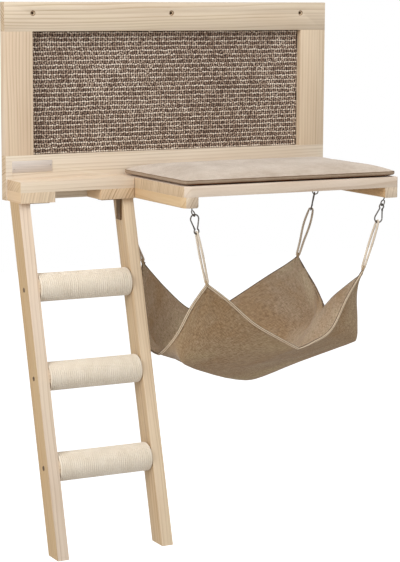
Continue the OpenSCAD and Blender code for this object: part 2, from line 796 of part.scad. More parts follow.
module hook_gate(i) {
    cheek = tab_t / 2 + cheek_fit;
    root = hook_wire / 2 + 0.5;
    color([0.28, 0.27, 0.26]) at_hook(i) translate(gate_pivot) rotate([0, gate_lean, 0]) difference() {
        union() {
            translate([0, 0, root]) cylinder(h = gate_reach - root, d = gate_d, $fn = small_n);
            for (s = [-1, 1]) translate([0, s * (cheek + cheek_t / 2), 0]) {
                rotate([90, 0, 0]) cylinder(h = cheek_t, d = cheek_d, center = true, $fn = small_n);
                translate([-1.1, -cheek_t / 2, 0]) cube([2.2, cheek_t, root + 1.2]);
            }
            translate([-1.1, -cheek - cheek_t, root]) cube([2.2, 2 * (cheek + cheek_t), 1.2]);
        }
        rotate([90, 0, 0]) cylinder(h = 8, d = rivet_d + 2 * pivot_fit, center = true, $fn = small_n);
    }
}

module hook_gate_fl() {
    hook_gate(0);
}

module hook_gate_fr() {
    hook_gate(1);
}

module hook_gate_bl() {
    hook_gate(2);
}

module hook_gate_br() {
    hook_gate(3);
}

module gate_rivet(i) {
    half = tab_t / 2 + cheek_fit + cheek_t;
    color([0.5, 0.5, 0.5]) at_hook(i) translate(gate_pivot) rotate([90, 0, 0])
        cylinder(h = 2 * half + 0.5, d = rivet_d, center = true, $fn = small_n);
}

module gate_rivet_fl() {
    gate_rivet(0);
}

module gate_rivet_fr() {
    gate_rivet(1);
}

module gate_rivet_bl() {
    gate_rivet(2);
}

module gate_rivet_br() {
    gate_rivet(3);
}

// Rope loop: over the hook's lower wire, both ends to the cloth's corner
function hook_world(i, p) = let (q = [p[0] * cos(hook_turn[i]) - p[1] * sin(hook_turn[i]),
        p[0] * sin(hook_turn[i]) + p[1] * cos(hook_turn[i]), p[2]], b = hook_lean[i])
    pivots[i] + [q[0] * cos(b) + q[2] * sin(b), q[1], -q[0] * sin(b) + q[2] * cos(b)];
loop_r = hook_wire / 2 + loop_gap + rope_d / 2;
loop_twist = [45, 45, 0, 0];
function loop_foot(i) = cloth_corners[i] + [0, 0, piping_d / 2 + corner_gap];
function loop_arm(i, s) = [for (t = [0.14, 0.3, 0.48, 0.66, 0.83, 0.93, 1])
    let (h = hook_world(i, [0, 0, hook_low]), f = loop_foot(i),
        a = 90 + hook_turn[i] + loop_twist[i] * t,
        wide = loop_r + loop_spread,
        w = t < 0.3 ? loop_r + loop_spread * t / 0.3 : wide + (loop_foot_half - wide) * (t - 0.3) / 0.7)
    h + (f - h) * t + s * w * [cos(a), sin(a), 0]];
function loop_top(i) = [for (a = [180, 150, 120, 90, 60, 30, 0])
    hook_world(i, [0, loop_r * cos(180 - a) * -1, hook_low + loop_r * sin(a)])];
function loop_route(i) = concat([for (k = [6:-1:0]) loop_arm(i, -1)[k]], loop_top(i), loop_arm(i, 1));
function route_dir(r, i) = let (n = len(r) - 1)
    unit(i == 0 ? r[1] - r[0] : i == n ? r[n] - r[n - 1] : unit(r[i] - r[i - 1]) + unit(r[i + 1] - r[i]));
function rope_rings(r, d, n, side) = [for (i = [0:len(r) - 1]) let (t = route_dir(r, i),
    a = unit(cross(t, side)), b = cross(a, t)) ring(r[i], a * d / 2, b * d / 2, n)];

module rope_loop(i) {
    side = [cos(hook_turn[i]), sin(hook_turn[i]), 0.2];
    color(cotton) skin(rope_rings(loop_route(i), rope_d, 6, side));
}

module rope_loop_fl() {
    rope_loop(0);
}

module rope_loop_fr() {
    rope_loop(1);
}

module rope_loop_bl() {
    rope_loop(2);
}

module rope_loop_br() {
    rope_loop(3);
}

// Share of the cloth's parameter that keeps its edge clear of the piping
cloth_in = piping_d / 2 + pipe_gap;
function edge_share(a, b, c, d) = let (t = unit(d - c), v = b - a) 0.02 * cloth_in / norm(v - (v * t) * t);
grid = [for (k = [0:cloth_n]) k / cloth_n];
function edge_u(u, v) = edge_share(cloth_at(u, v), cloth_at(u == 0 ? 0.02 : 0.98, v),
    cloth_at(u, max(v - 0.01, 0)), cloth_at(u, min(v + 0.01, 1)));
function edge_v(u, v) = edge_share(cloth_at(u, v), cloth_at(u, v == 0 ? 0.02 : 0.98),
    cloth_at(max(u - 0.01, 0), v), cloth_at(min(u + 0.01, 1), v));
in_left = [for (t = grid) edge_u(0, t)];
in_right = [for (t = grid) edge_u(1, t)];
in_front = [for (t = grid) edge_v(t, 0)];
in_back = [for (t = grid) edge_v(t, 1)];
cloth_uv = [for (j = [0:cloth_n], i = [0:cloth_n])
    [in_left[j] + (1 - in_left[j] - in_right[j]) * grid[i],
        in_front[i] + (1 - in_front[i] - in_back[i]) * grid[j]]];

module hammock_cloth() {
    n = cloth_n;
    m = n + 1;
    middle = [for (q = cloth_uv) cloth_at(q[0], q[1])];
    normals = [for (q = cloth_uv) cloth_normal(q[0], q[1])];
    upper = [for (k = [0:m * m - 1]) middle[k] + normals[k] * cloth_t / 2];
    lower = [for (k = [0:m * m - 1]) middle[k] - normals[k] * cloth_t / 2];
    sheets = [for (j = [0:n - 1], i = [0:n - 1]) let (a = j * m + i, b = a + 1, c = a + m, d = c + 1,
        s = m * m) each [[a, c, b], [b, c, d], [s + a, s + b, s + c], [s + b, s + d, s + c]]];
    edge = concat([for (i = [0:n - 1]) [i, i + 1]], [for (j = [0:n - 1]) [j * m + n, (j + 1) * m + n]],
        [for (i = [n:-1:1]) [n * m + i, n * m + i - 1]], [for (j = [n:-1:1]) [j * m, (j - 1) * m]]);
    rim = [for (e = edge) each [[e[0], e[1], e[0] + m * m], [e[1], e[1] + m * m, e[0] + m * m]]];
    color([0.50, 0.40, 0.30]) polyhedron(points = concat(upper, lower), faces = concat(sheets, rim));
}

pipe_steps = cloth_n;
pipe_route = concat([for (k = [0:pipe_steps - 1]) cloth_at(k / pipe_steps, 0)],
    [for (k = [0:pipe_steps - 1]) cloth_at(1, k / pipe_steps)],
    [for (k = [0:pipe_steps - 1]) cloth_at(1 - k / pipe_steps, 1)],
    [for (k = [0:pipe_steps - 1]) cloth_at(0, 1 - k / pipe_steps)]);

module hammock_piping() {
    r = pipe_route;
    n = len(r);
    rings = [for (i = [0:n - 1]) let (t = unit(unit(r[i] - r[(i + n - 1) % n])
            + unit(r[(i + 1) % n] - r[i])),
        a = unit(cross(t, [0.02, 0.03, 1])), b = cross(a, t)) ring(r[i], a * piping_d / 2, b * piping_d / 2, 6)];
    color(cotton) skin(rings, closed = true);
}

board_top_rail();
board_bottom_rail();
board_side_left();
board_side_right();
backing_panel();
sisal_panel();
nameplate();
frame_dowels();
panel_nails();
step_plank();
step_cleat_left();
step_cleat_right();
step_screws();
shelf_plank();
shelf_cleat_left();
shelf_cleat_right();
shelf_screws();
board_screws();
cushion();
ladder_stile_left();
ladder_stile_right();
rung_core_1();
rung_core_2();
rung_core_3();
rung_rope_1();
rung_rope_2();
rung_rope_3();
rung_screws();
ladder_bracket_left();
ladder_bracket_right();
bracket_screws();
screw_eye_fl();
screw_eye_fr();
screw_eye_bl();
screw_eye_br();
hook_fl();
hook_fr();
hook_bl();
hook_br();
hook_gate_fl();
hook_gate_fr();
hook_gate_bl();
hook_gate_br();
gate_rivet_fl();
gate_rivet_fr();
gate_rivet_bl();
gate_rivet_br();
rope_loop_fl();
rope_loop_fr();
rope_loop_bl();
rope_loop_br();
hammock_cloth();
hammock_piping();
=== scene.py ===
# %% [markdown]
# # A wall-hung cat bed with a ladder and a hammock
#
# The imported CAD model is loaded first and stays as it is: it gives every size and place in metres, and it
# moves. What this lesson adds is the look: worn pine edges with grain, a woven scratching mat, rope wound
# on the rungs, a boxed cushion and a hammock of coarse cloth with corded edges.

import math
import random

import bpy
import numpy as np
from mathutils import Euler, Matrix, Vector, noise


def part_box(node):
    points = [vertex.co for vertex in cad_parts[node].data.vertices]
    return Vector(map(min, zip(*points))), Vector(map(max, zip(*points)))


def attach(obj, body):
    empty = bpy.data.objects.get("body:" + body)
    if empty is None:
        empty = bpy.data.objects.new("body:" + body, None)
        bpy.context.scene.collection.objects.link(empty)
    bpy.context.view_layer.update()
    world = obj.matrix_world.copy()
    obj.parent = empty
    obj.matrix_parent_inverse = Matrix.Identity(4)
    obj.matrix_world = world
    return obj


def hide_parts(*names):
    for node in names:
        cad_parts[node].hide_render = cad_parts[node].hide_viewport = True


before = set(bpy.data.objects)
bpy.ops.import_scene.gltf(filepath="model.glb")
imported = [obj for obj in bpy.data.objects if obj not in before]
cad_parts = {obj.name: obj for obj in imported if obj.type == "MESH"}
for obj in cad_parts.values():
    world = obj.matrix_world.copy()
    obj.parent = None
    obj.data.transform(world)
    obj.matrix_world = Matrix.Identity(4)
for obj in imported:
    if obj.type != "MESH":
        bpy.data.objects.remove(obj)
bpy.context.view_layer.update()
scene = bpy.context.scene

# %% [markdown]
# ## Camera
#
# The camera was fitted to measured corners of the board, the shelves and the ladder. It stands left of the
# middle, level with the top of the board, 3.7 m away, and looks a little down with a long lens and no
# shift.

# %% Place the camera
def look_from(place, yaw, pitch, roll):
    forward = Vector((math.sin(yaw) * math.cos(pitch), math.cos(yaw) * math.cos(pitch), math.sin(pitch)))
    right = Vector((math.cos(yaw), -math.sin(yaw), 0.0))
    up = right.cross(forward)
    side = math.cos(roll) * right + math.sin(roll) * up
    top = -math.sin(roll) * right + math.cos(roll) * up
    turn = Matrix((side, top, -forward)).transposed().to_4x4()
    return Matrix.Translation(place) @ turn


film_width = 36.0
photo_width, focal_pixels = 400, 1890.17
camera_place = Vector((-1.68579, -3.33572, 0.03662))
camera_yaw, camera_pitch, camera_roll = 0.4859, -0.1506, 0.0045
camera_data = bpy.data.cameras.new("camera")
camera_data.sensor_fit = "HORIZONTAL"
camera_data.sensor_width = film_width
camera_data.lens = film_width * focal_pixels / photo_width
camera = bpy.data.objects.new("camera", camera_data)
scene.collection.objects.link(camera)
camera.matrix_world = look_from(camera_place, camera_yaw, camera_pitch, camera_roll)
scene.camera = camera
print("camera lens", round(camera_data.lens, 2), "mm")

# %% [markdown]
# ## Small helpers
#
# Everything below is made in world metres with its object at the origin, so that grain and weave on Object
# coordinates stay put. These helpers deselect all, make a mesh object from points, and finish a piece.

# %% Helpers for objects
def only(obj):
    bpy.ops.object.select_all(action="DESELECT")
    obj.select_set(True)
    bpy.context.view_layer.objects.active = obj
    return obj


def settle(obj):
    only(obj)
    bpy.ops.object.transform_apply(location=True, rotation=True, scale=True)
    return obj


def mesh_object(name, points, faces, smooth=True):
    mesh = bpy.data.meshes.new(name)
    mesh.from_pydata([tuple(p) for p in points], [], faces)
    mesh.update()
    obj = bpy.data.objects.new(name, mesh)
    scene.collection.objects.link(obj)
    only(obj)
    if smooth:
        bpy.ops.object.shade_smooth()
    return obj


def outward(obj):
    only(obj)
    bpy.ops.object.mode_set(mode="EDIT")
    bpy.ops.mesh.select_all(action="SELECT")
    bpy.ops.mesh.normals_make_consistent(inside=False)
    bpy.ops.object.mode_set(mode="OBJECT")
    return obj


def apply_all(obj):
    only(obj)
    for m in list(obj.modifiers):
        bpy.ops.object.modifier_apply(modifier=m.name)
    return obj


def joined(name, parts):
    bpy.ops.object.select_all(action="DESELECT")
    for part in parts:
        part.select_set(True)
    bpy.context.view_layer.objects.active = parts[0]
    bpy.ops.object.join()
    parts[0].name = name
    return parts[0]


# %% Helpers for material nodes
def linear(r, g, b):
    """Linear colour of a colour written in 0 to 255 as a screen shows it."""
    def one(v):
        v /= 255.0
        return v / 12.92 if v <= 0.04045 else ((v + 0.055) / 1.055) ** 2.4
    return (one(r), one(g), one(b), 1.0)


class Nodes:
    """A material's node tree, filled one node at a time."""

    def __init__(self, name):
        self.material = bpy.data.materials.new(name)
        self.material.use_nodes = True
        self.tree = self.material.node_tree
        self.tree.nodes.clear()
        self.shader = self.add("ShaderNodeBsdfPrincipled")
        self.out = self.add("ShaderNodeOutputMaterial")
        self.link(self.shader, "BSDF", self.out, "Surface")

    def add(self, kind, **settings):
        node = self.tree.nodes.new(kind)
        for key, value in settings.items():
            if key in node.inputs.keys():
                node.inputs[key].default_value = value
            else:
                setattr(node, key, value)
        return node

    def link(self, a, out, b, into):
        self.tree.links.new(a.outputs[out], b.inputs[into])

    def coords(self, kind="Object"):
        return self.add("ShaderNodeTexCoord"), kind

    def mapped(self, source, scale=(1, 1, 1), turn=(0, 0, 0), move=(0, 0, 0)):
        node = self.add("ShaderNodeMapping")
        node.inputs["Scale"].default_value = scale
        node.inputs["Rotation"].default_value = turn
        node.inputs["Location"].default_value = move
        self.link(source[0], source[1], node, "Vector")
        return node, "Vector"

    def noise(self, source, scale, detail=2.0, rough=0.5):
        node = self.add("ShaderNodeTexNoise", Scale=scale, Detail=detail, Roughness=rough)
        self.link(source[0], source[1], node, "Vector")
        return node, "Fac"

    def ramp(self, source, stops):
        node = self.add("ShaderNodeValToRGB")
        ends = node.color_ramp.elements
        while len(ends) < len(stops):
            ends.new(0.5)
        for e, (place, colour) in zip(ends, stops):
            e.position = place
            e.color = colour
        self.link(source[0], source[1], node, "Fac")
        return node, "Color"

    def mix(self, kind, factor, a, b):
        node = self.add("ShaderNodeMix", data_type="RGBA", blend_type=kind)
        for value, socket in ((factor, 0), (a, 6), (b, 7)):
            if isinstance(value, tuple) and hasattr(value[0], "outputs"):
                self.tree.links.new(value[0].outputs[value[1]], node.inputs[socket])
            else:
                node.inputs[socket].default_value = value
        return node, 2

    def maths(self, kind, a, b=0.0):
        node = self.add("ShaderNodeMath", operation=kind)
        for value, socket in ((a, 0), (b, 1)):
            if isinstance(value, tuple):
                self.tree.links.new(value[0].outputs[value[1]], node.inputs[socket])
            else:
                node.inputs[socket].default_value = value
        return node, 0

    def pushed(self, source, by, amount):
        """Coordinates pushed about by a noise's colour."""
        push = self.add("ShaderNodeVectorMath", operation="SCALE")
        push.inputs["Scale"].default_value = amount
        self.link(by[0], "Color", push, 0)
        at = self.add("ShaderNodeVectorMath", operation="ADD")
        self.link(source[0], source[1], at, 0)
        self.link(push, "Vector", at, 1)
        return at, "Vector"

    def colour(self, source):
        self.tree.links.new(source[0].outputs[source[1]], self.shader.inputs["Base Color"])

    def bump(self, height, strength, distance):
        node = self.add("ShaderNodeBump", Strength=strength, Distance=distance)
        self.tree.links.new(height[0].outputs[height[1]], node.inputs["Height"])
        self.link(node, "Normal", self.shader, "Normal")
        return node

    def rough(self, source, low, high):
        node = self.add("ShaderNodeMapRange")
        node.inputs["To Min"].default_value = low
        node.inputs["To Max"].default_value = high
        self.tree.links.new(source[0].outputs[source[1]], node.inputs["Value"])
        self.link(node, "Result", self.shader, "Roughness")

    def sheen(self, weight, rough=0.5):
        self.shader.inputs["Sheen Weight"].default_value = weight
        self.shader.inputs["Sheen Roughness"].default_value = rough


def grey(v):
    return (v, v, v, 1)


def put(obj, *materials):
    obj.data.materials.clear()
    for material in materials:
        obj.data.materials.append(material)
    return obj


def dress(obj, body, slot, *nodes):
    """Say which body the piece rides on and which CAD nodes it replaces. The slot is not used."""
    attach(obj, body)
    if nodes:
        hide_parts(*nodes)
    return obj


# %% [markdown]
# ## Rope loops
#
# Each corner of the hammock hangs in a loop of twisted cotton rope that passes over the lower end of a snap
# hook. The loops are the only free ropes, so they come first. The route repeats the one of the part: up one
# strand, over the hook's wire, down the other. A tube is swept along it and its section is a three-lobed
# rope that turns as it goes, so the lay of the rope is real relief.

# %% Numbers of the suspension, in millimetres as in the part
pivots = [(-81.015, -273.0, -367.445), (330.015, -273.0, -367.445), (-96.564, -34.0, -368.330),
          (321.882, -34.0, -366.987)]
hook_lean = [-10, 17, -8, 13]
hook_turn = [0, 0, 62, 62]
hook_top, hook_low = 3.02, -33.78
corner_names = ["fl", "fr", "bl", "br"]
corners = [(-50.2, -265.83, -495.5), (294.2, -265.83, -489.5), (-75.4, -45.95, -480.5),
           (277.4, -45.95, -490.5)]
loop_r = 4.1
rope_d = 4.8
loop_twist = [45, 60, -150, 0]
loop_bow = [0, 0, -2.6, 0]
loop_places = (0.10, 0.22, 0.36, 0.52, 0.68, 0.84, 0.94, 1.0)
loop_widths = [
    (4.1, 4.2, 4.3, 3.9, 3.4, 2.7, 2.5, 2.4),
    (4.1, 4.2, 4.1, 3.7, 3.3, 2.7, 2.5, 2.4),
    (3.2, 2.8, 2.5, 2.4, 2.5, 3.1, 3.3, 2.4),
    (5.4, 6.4, 6.5, 5.4, 3.9, 3.2, 2.9, 2.5)]


def at_hook(i, p):
    a, b = math.radians(hook_turn[i]), math.radians(hook_lean[i])
    x, y, z = p[0] * math.cos(a) - p[1] * math.sin(a), p[0] * math.sin(a) + p[1] * math.cos(a), p[2]
    across, down = x * math.cos(b) + z * math.sin(b), -x * math.sin(b) + z * math.cos(b)
    return Vector(pivots[i]) + Vector((across, y, down))


def loop_route(i):
    top = at_hook(i, (0, 0, hook_low))
    foot = Vector(corners[i]) + Vector((0, 0, 1.2))

    def arm(side):
        points = []
        for t, w in zip(loop_places, loop_widths[i]):
            a = math.radians(90 + hook_turn[i] + loop_twist[i] * t)
            bow = Vector((loop_bow[i] * math.sin(math.pi * t), 0, 0))
            points.append(top.lerp(foot, t) + bow + side * w * Vector((math.cos(a), math.sin(a), 0)))
        return points

    over = [at_hook(i, (0, loop_r * math.cos(math.radians(a)), hook_low + loop_r * math.sin(math.radians(a))))
            for a in range(180, -1, -30)]
    return [p / 1000 for p in arm(-1)[::-1] + over + arm(1)]


def smooth_path(points, per):
    """Catmull-Rom curve through the points, with per steps between neighbours."""
    p = [Vector(q) for q in points]
    p = [2 * p[0] - p[1]] + p + [2 * p[-1] - p[-2]]
    out = []
    for k in range(1, len(p) - 2):
        a, b, c, d = p[k - 1:k + 3]
        for s in range(per):
            t = s / per
            out.append(0.5 * (2 * b + (c - a) * t + (2 * a - 5 * b + 4 * c - d) * t * t
                              + (3 * b - a - 3 * c + d) * t ** 3))
    return out + [p[-2]]


def length_of(points):
    return sum((b - a).length for a, b in zip(points, points[1:]))


# %% Sweep a section along a path
def sweep(name, path, section, hint=(0.3, 0.2, 1.0), uv="rope"):
    """A tube along the path. section(along) gives the (across, up) offsets of one ring, in metres."""
    points, faces, along = [], [], 0.0
    side = Vector(hint)
    count = len(section(0.0))
    for k, p in enumerate(path):
        t = (path[min(k + 1, len(path) - 1)] - path[max(k - 1, 0)]).normalized()
        side = (side - side.dot(t) * t).normalized()
        up = t.cross(side)
        if k:
            along += (p - path[k - 1]).length
        points += [p + x * side + y * up for x, y in section(along)]
    for k in range(len(path) - 1):
        for s in range(count):
            a, b = k * count + s, k * count + (s + 1) % count
            faces.append((a, b, b + count, a + count))
    faces.append(tuple(range(count))[::-1])
    faces.append(tuple((len(path) - 1) * count + s for s in range(count)))
    obj = mesh_object(name, points, faces)
    layer = obj.data.uv_layers.new(name=uv)
    step = along / (len(path) - 1)
    for loop in obj.data.loops:
        v = loop.vertex_index
        layer.data[loop.index].uv = ((v // count) * step * 1000, (v % count) / count)
    return outward(obj)


def laid_rope(diameter, lay, sides=12, plies=3, deep=0.16, square=2.0):
    """Section of a laid rope, with lobes that turn once per lay. A higher square presses it towards a box."""
    def ring(along):
        out = []
        phase = 2 * math.pi * along / lay
        for s in range(sides):
            a = 2 * math.pi * s / sides
            c, d = math.cos(a), math.sin(a)
            box = (abs(c) ** square + abs(d) ** square) ** (-1 / square)
            r = diameter / 2 * box * (1 - deep + deep * abs(math.cos(plies * (a - phase) / 2)))
            out.append((r * c, r * d))
        return out
    return ring


def squeezed(section, place, reach, least):
    """The section, pressed thinner round one place of the path."""
    def ring(along):
        share = 1 - (1 - least) * math.exp(-((along - place) / reach) ** 2)
        return [(x * share, y * share) for x, y in section(along)]
    return ring


def wire(diameter, sides=14):
    turns = [2 * math.pi * s / sides for s in range(sides)]
    ring = [(diameter / 2 * math.cos(a), diameter / 2 * math.sin(a)) for a in turns]
    return lambda along: ring


rope_lay = 0.011
press_reach, press_least = 0.009, 0.68
rope_loops = []
for i, key in enumerate(corner_names):
    path = smooth_path(loop_route(i), 7)
    half = length_of(path) / 2
    section = squeezed(laid_rope(rope_d / 1000, rope_lay), half, press_reach, press_least)
    loop = sweep("hanging_rope_" + key, path, section)
    dress(loop, "link_" + key, "cotton_rope", "rope_loop_" + key)
    rope_loops.append(loop)
    print("rope loop", key, "length", round(length_of(path) * 1000), "mm")

# %% [markdown]
# ## Pine boards
#
# Rails, side members, planks, cleats and stiles are planed pine with slightly eased edges. Their shapes are
# right in the CAD model, but its edges are knife sharp, and a sharp edge never catches light. Each is
# copied, its loose triangles are merged and flat areas dissolved into whole faces, and a small bevel eases
# the edges.

# %% Ease the edges of a copied board
def eased_copy(node, ease, name=None, segments=2):
    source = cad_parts[node]
    copy = bpy.data.objects.new(name or node + "_eased", source.data.copy())
    scene.collection.objects.link(copy)
    only(copy)
    bpy.ops.object.mode_set(mode="EDIT")
    bpy.ops.mesh.select_all(action="SELECT")
    bpy.ops.mesh.remove_doubles(threshold=1e-6)
    bpy.ops.mesh.dissolve_limited(angle_limit=math.radians(0.5))
    bpy.ops.object.mode_set(mode="OBJECT")
    bevel = copy.modifiers.new("ease", "BEVEL")
    bevel.width = ease
    bevel.segments = segments
    bevel.limit_method = "ANGLE"
    bevel.angle_limit = math.radians(40)
    bevel.use_clamp_overlap = True
    bpy.ops.object.modifier_apply(modifier="ease")
    bpy.ops.object.shade_smooth_by_angle(angle=math.radians(35))
    return copy


# %% [markdown]
# Pine is yearly rings cut by a plane. The material keeps a far pith beside each board and draws rings round
# it, so wide faces show long lines and the ends show arcs. Ends drink in more oil and dirt, so they get a
# darker material of their own. The long axis of the grain follows each piece: rails along X, side members
# along Z, cleats along Y, and the stiles along their lean.

# %% Pine with grain along one axis
lean = math.radians(15)
grain_turn = {"x": (0, 0, 0), "y": (0, 0, math.radians(-90)), "z": (0, math.radians(90), 0),
              "lean": (lean, math.radians(90), 0)}
grain_way = {"x": Vector((1, 0, 0)), "y": Vector((0, 1, 0)), "z": Vector((0, 0, 1)),
             "lean": Vector((0, math.sin(lean), math.cos(lean)))}


def pine(name, axis, seed, middle, pith, end=False, ring=0.0062, lines=1.0, tone=(0, 0, 0)):
    """Pine whose rings lie round a pith at (across, up) in the turned frame, away from the piece's middle."""
    n = Nodes(name)
    rnd = random.Random(seed)
    turn = [a + rnd.uniform(-0.012, 0.012) for a in grain_turn[axis]]
    move = Vector((rnd.uniform(-1, 1), pith[0], pith[1])) - Euler(turn).to_matrix() @ middle
    place = n.mapped(n.coords(), turn=turn, move=tuple(move))
    wander = n.noise(n.mapped(place, scale=(2.6, 13, 13)), 1.0, 2.0)
    moved = n.pushed(place, wander, 0.002 if end else 0.014)
    cut = n.add("ShaderNodeSeparateXYZ")
    n.link(moved[0], moved[1], cut, "Vector")
    far = n.add("ShaderNodeVectorMath", operation="LENGTH")
    flat = n.mapped(moved, scale=(0, 1, 1))
    n.link(flat[0], flat[1], far, 0)
    radius = (far, "Value")

    def along_rings(along, across, detail=2.0):
        spot = n.add("ShaderNodeCombineXYZ")
        for value, socket in (((cut, "X"), 0), (radius, 1)):
            scaled = n.maths("MULTIPLY", value, (along, across)[socket])
            n.link(scaled[0], scaled[1], spot, socket)
        return n.noise((spot, "Vector"), 1.0, detail, 0.55)

    strength = along_rings(2.0, 70.0)
    turn_of_ring = n.maths("FRACT", n.maths("ADD", n.maths("MULTIPLY", radius, 1.0 / ring),
                                            n.maths("MULTIPLY", along_rings(0.6, 45.0), 1.6)))
    late = n.ramp(turn_of_ring, [(0.0, grey(0)), (0.45, grey(0.08)), (0.78, grey(0.55)), (0.9, grey(1)),
                                 (1.0, grey(0))])
    shown = n.ramp(strength, [(0.36, grey(0.12)), (0.62, grey(1))])
    mark = n.mix("MULTIPLY", 1.0, late, shown)
    fine = along_rings(9.0, 620.0, 3.0)
    fibre = n.noise(n.mapped(place, scale=(14, 900, 900)), 1.0, 3.0, 0.6)
    patch = n.noise(n.mapped(place, scale=(5.0, 24, 24)), 1.0, 2.0)
    shift = rnd.uniform(-2, 2)
    if end:
        light, dark = (211, 188, 158), (150, 116, 82)
        fleck = n.ramp(fine, [(0.34, (0.84, 0.80, 0.75, 1)), (0.62, (1.02, 1.02, 1.02, 1))])
    else:
        light, dark = (222, 204, 181), (188, 163, 134)
        fleck = n.ramp(fine, [(0.34, (0.955, 0.94, 0.925, 1)), (0.62, (1.01, 1.01, 1.01, 1))])
    early, late_wood = (linear(*(v + shift + t for v, t in zip(colour, tone))) for colour in (light, dark))
    base = n.mix("MIX", n.maths("MULTIPLY", mark, lines), early, late_wood)
    shade = n.ramp(patch, [(0.32, (0.965, 0.945, 0.92, 1)), (0.5, grey(1)), (0.68, (1.01, 1.02, 1.0, 1))])
    n.colour(n.mix("MULTIPLY", 1.0, n.mix("MULTIPLY", 1.0, base, shade), fleck))
    n.rough(fibre, 0.66, 0.52)
    n.bump(n.maths("ADD", fibre, n.maths("MULTIPLY", mark, 0.4)), 0.12, 0.0005)
    n.shader.inputs["Specular IOR Level"].default_value = 0.3
    return n.material


def hole_shade_and_rim():
    """Dark brown, rough wood in holes: painted shade on the bore walls, and a dark ring round each wall
    hole's rim.
    """
    n = Nodes("drilled_pine")
    spots = n.noise(n.coords(), 900.0, 3.0)
    n.colour(n.ramp(spots, [(0.3, linear(84, 58, 36)), (0.7, linear(124, 92, 62))]))
    n.rough(spots, 0.8, 0.95)
    n.bump(spots, 0.3, 0.0004)
    return n.material


# %% Make the boards
# For each board: the grain's axis, the pith's place across and up, the strength of the rings, and what is
# added to the colour of its faces and of its ends.
wood = {
    "board_top_rail": ("x", (0.10, -0.17), 0.95, (-3, -2, -2), (0, 0, 0)),
    "board_bottom_rail": ("x", (0.07, 0.19), 0.85, (1, 5, 9), (0, 0, 0)),
    "board_side_left": ("z", (0.06, -0.20), 0.8, (-1, -5, -8), (0, 0, 0)),
    "board_side_right": ("z", (0.05, 0.22), 0.8, (-4, -6, -9), (0, 0, 0)),
    "step_plank": ("x", (0.22, 0.30), 0.7, (4, 4, 5), (6, 2, -2)),
    "step_cleat_left": ("y", (0.40, 0.10), 0.4, (0, -10, -22), (20, 22, 24)),
    "step_cleat_right": ("y", (0.26, 0.14), 0.85, (0, -10, -22), (6, 4, 2)),
    "shelf_plank": ("x", (0.50, 0.12), 0.6, (5, 5, 9), (4, 3, 2)),
    # The shelf cleats' darker, more golden face tones are painted shade for the shade under the shelf.
    "shelf_cleat_left": ("y", (0.30, 0.16), 0.7, (-6, -18, -34), (4, 9, 17)),
    "shelf_cleat_right": ("y", (0.36, 0.08), 0.45, (-12, -28, -48), (10, 15, 22)),
    "ladder_stile_left": ("lean", (0.15, 0.12), 0.75, (6, 5, 7), (0, 0, 0)),
    "ladder_stile_right": ("lean", (0.13, 0.16), 0.8, (9, 5, -2), (0, 0, 0))}
# The stiles' side faces get a darker copy of their pine: painted shade for the shade on their sides.
shaded_side_tones = {"ladder_stile_left": (-20, -31, -48), "ladder_stile_right": (-17, -25, -36)}
end_slot, drilled_slot, shaded_side_slot = 1, 2, 3
wall_hole_r, rung_hole_r = 0.0062, 0.0056
bevel_from, bevel_to = 0.0028, 0.0043
wall_holes = [Vector((x, 0, 0)) for x in (-0.292, 0.0, 0.292)]
rung_axes = [(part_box("rung_core_%d" % k)[0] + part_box("rung_core_%d" % k)[1]) / 2 for k in (1, 2, 3)]
drilled = hole_shade_and_rim()
boards = {}
for seed, (node, (axis, pith, lines, tone, end_tone)) in enumerate(wood.items(), 1):
    board = eased_copy(node, 0.0009)
    low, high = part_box(node)
    middle = (low + high) / 2
    put(board, pine("pine_" + node, axis, seed, middle, pith, lines=lines, tone=tone),
        pine("end_grain_" + node, axis, seed, middle, pith, end=True, lines=min(1.3 * lines, 1.0),
             tone=end_tone), drilled)
    if node in shaded_side_tones:
        board.data.materials.append(pine("pine_shaded_side_" + node, axis, seed, middle, pith, lines=lines,
                                         tone=shaded_side_tones[node]))
    for poly in board.data.polygons:
        if abs(poly.normal.dot(grain_way[axis])) > 0.72:
            poly.material_index = end_slot
        # Faces across X on the stiles take the darker side material, which is painted shade.
        elif node in shaded_side_tones and abs(poly.normal.x) > 0.7:
            poly.material_index = shaded_side_slot
        # In the wall holes the bore and the outer rim are dark brown, the bore as painted shade; the cone
        # between is end grain.
        for hole in wall_holes if node == "board_top_rail" else []:
            off = math.hypot(poly.center.x - hole.x, poly.center.z)
            if off < wall_hole_r and abs(poly.normal.y) < 0.98:
                poly.material_index = end_slot if bevel_from < off < bevel_to else drilled_slot
        # The walls of the rung holes in the stiles are dark brown too, as painted shade.
        for hole in rung_axes if axis == "lean" else []:
            off = math.hypot(poly.center.y - hole.y, poly.center.z - hole.z)
            if off < rung_hole_r and abs(poly.normal.x) < 0.98:
                poly.material_index = drilled_slot
    dress(board, "frame", "pine", node)
    boards[node] = board
print("boards with eased edges:", len(boards))

# %% [markdown]
# ## Scratching mat
#
# The middle of the board is a woven sisal mat. Each row is a rib of pale stitches that lie along the row,
# and between two ribs short yarns lean left and right in turn, with dark gaps: the ground under them is
# painted nearly black as their shade. Both are one small domed bead, modelled once and repeated with its
# own size, slant and tone. Tone is stored as a colour on the points, and the material reads it.

# %% Weave of the mat
def dome(length, width, rise, sides=6):
    """A six-sided bead: an outer ring on the ground, a shoulder ring and a top point."""
    points, faces = [], []
    for share, up in ((1.0, 0.0), (0.72, 0.68)):
        for s in range(sides):
            a = 2 * math.pi / sides * s
            points.append((share * length / 2 * math.cos(a), share * width / 2 * math.sin(a), up * rise))
    points.append((0, 0, rise))
    for s in range(sides):
        after = (s + 1) % sides
        faces += [(s, after, sides + after, sides + s), (sides + s, sides + after, 2 * sides)]
    return np.array(points), faces


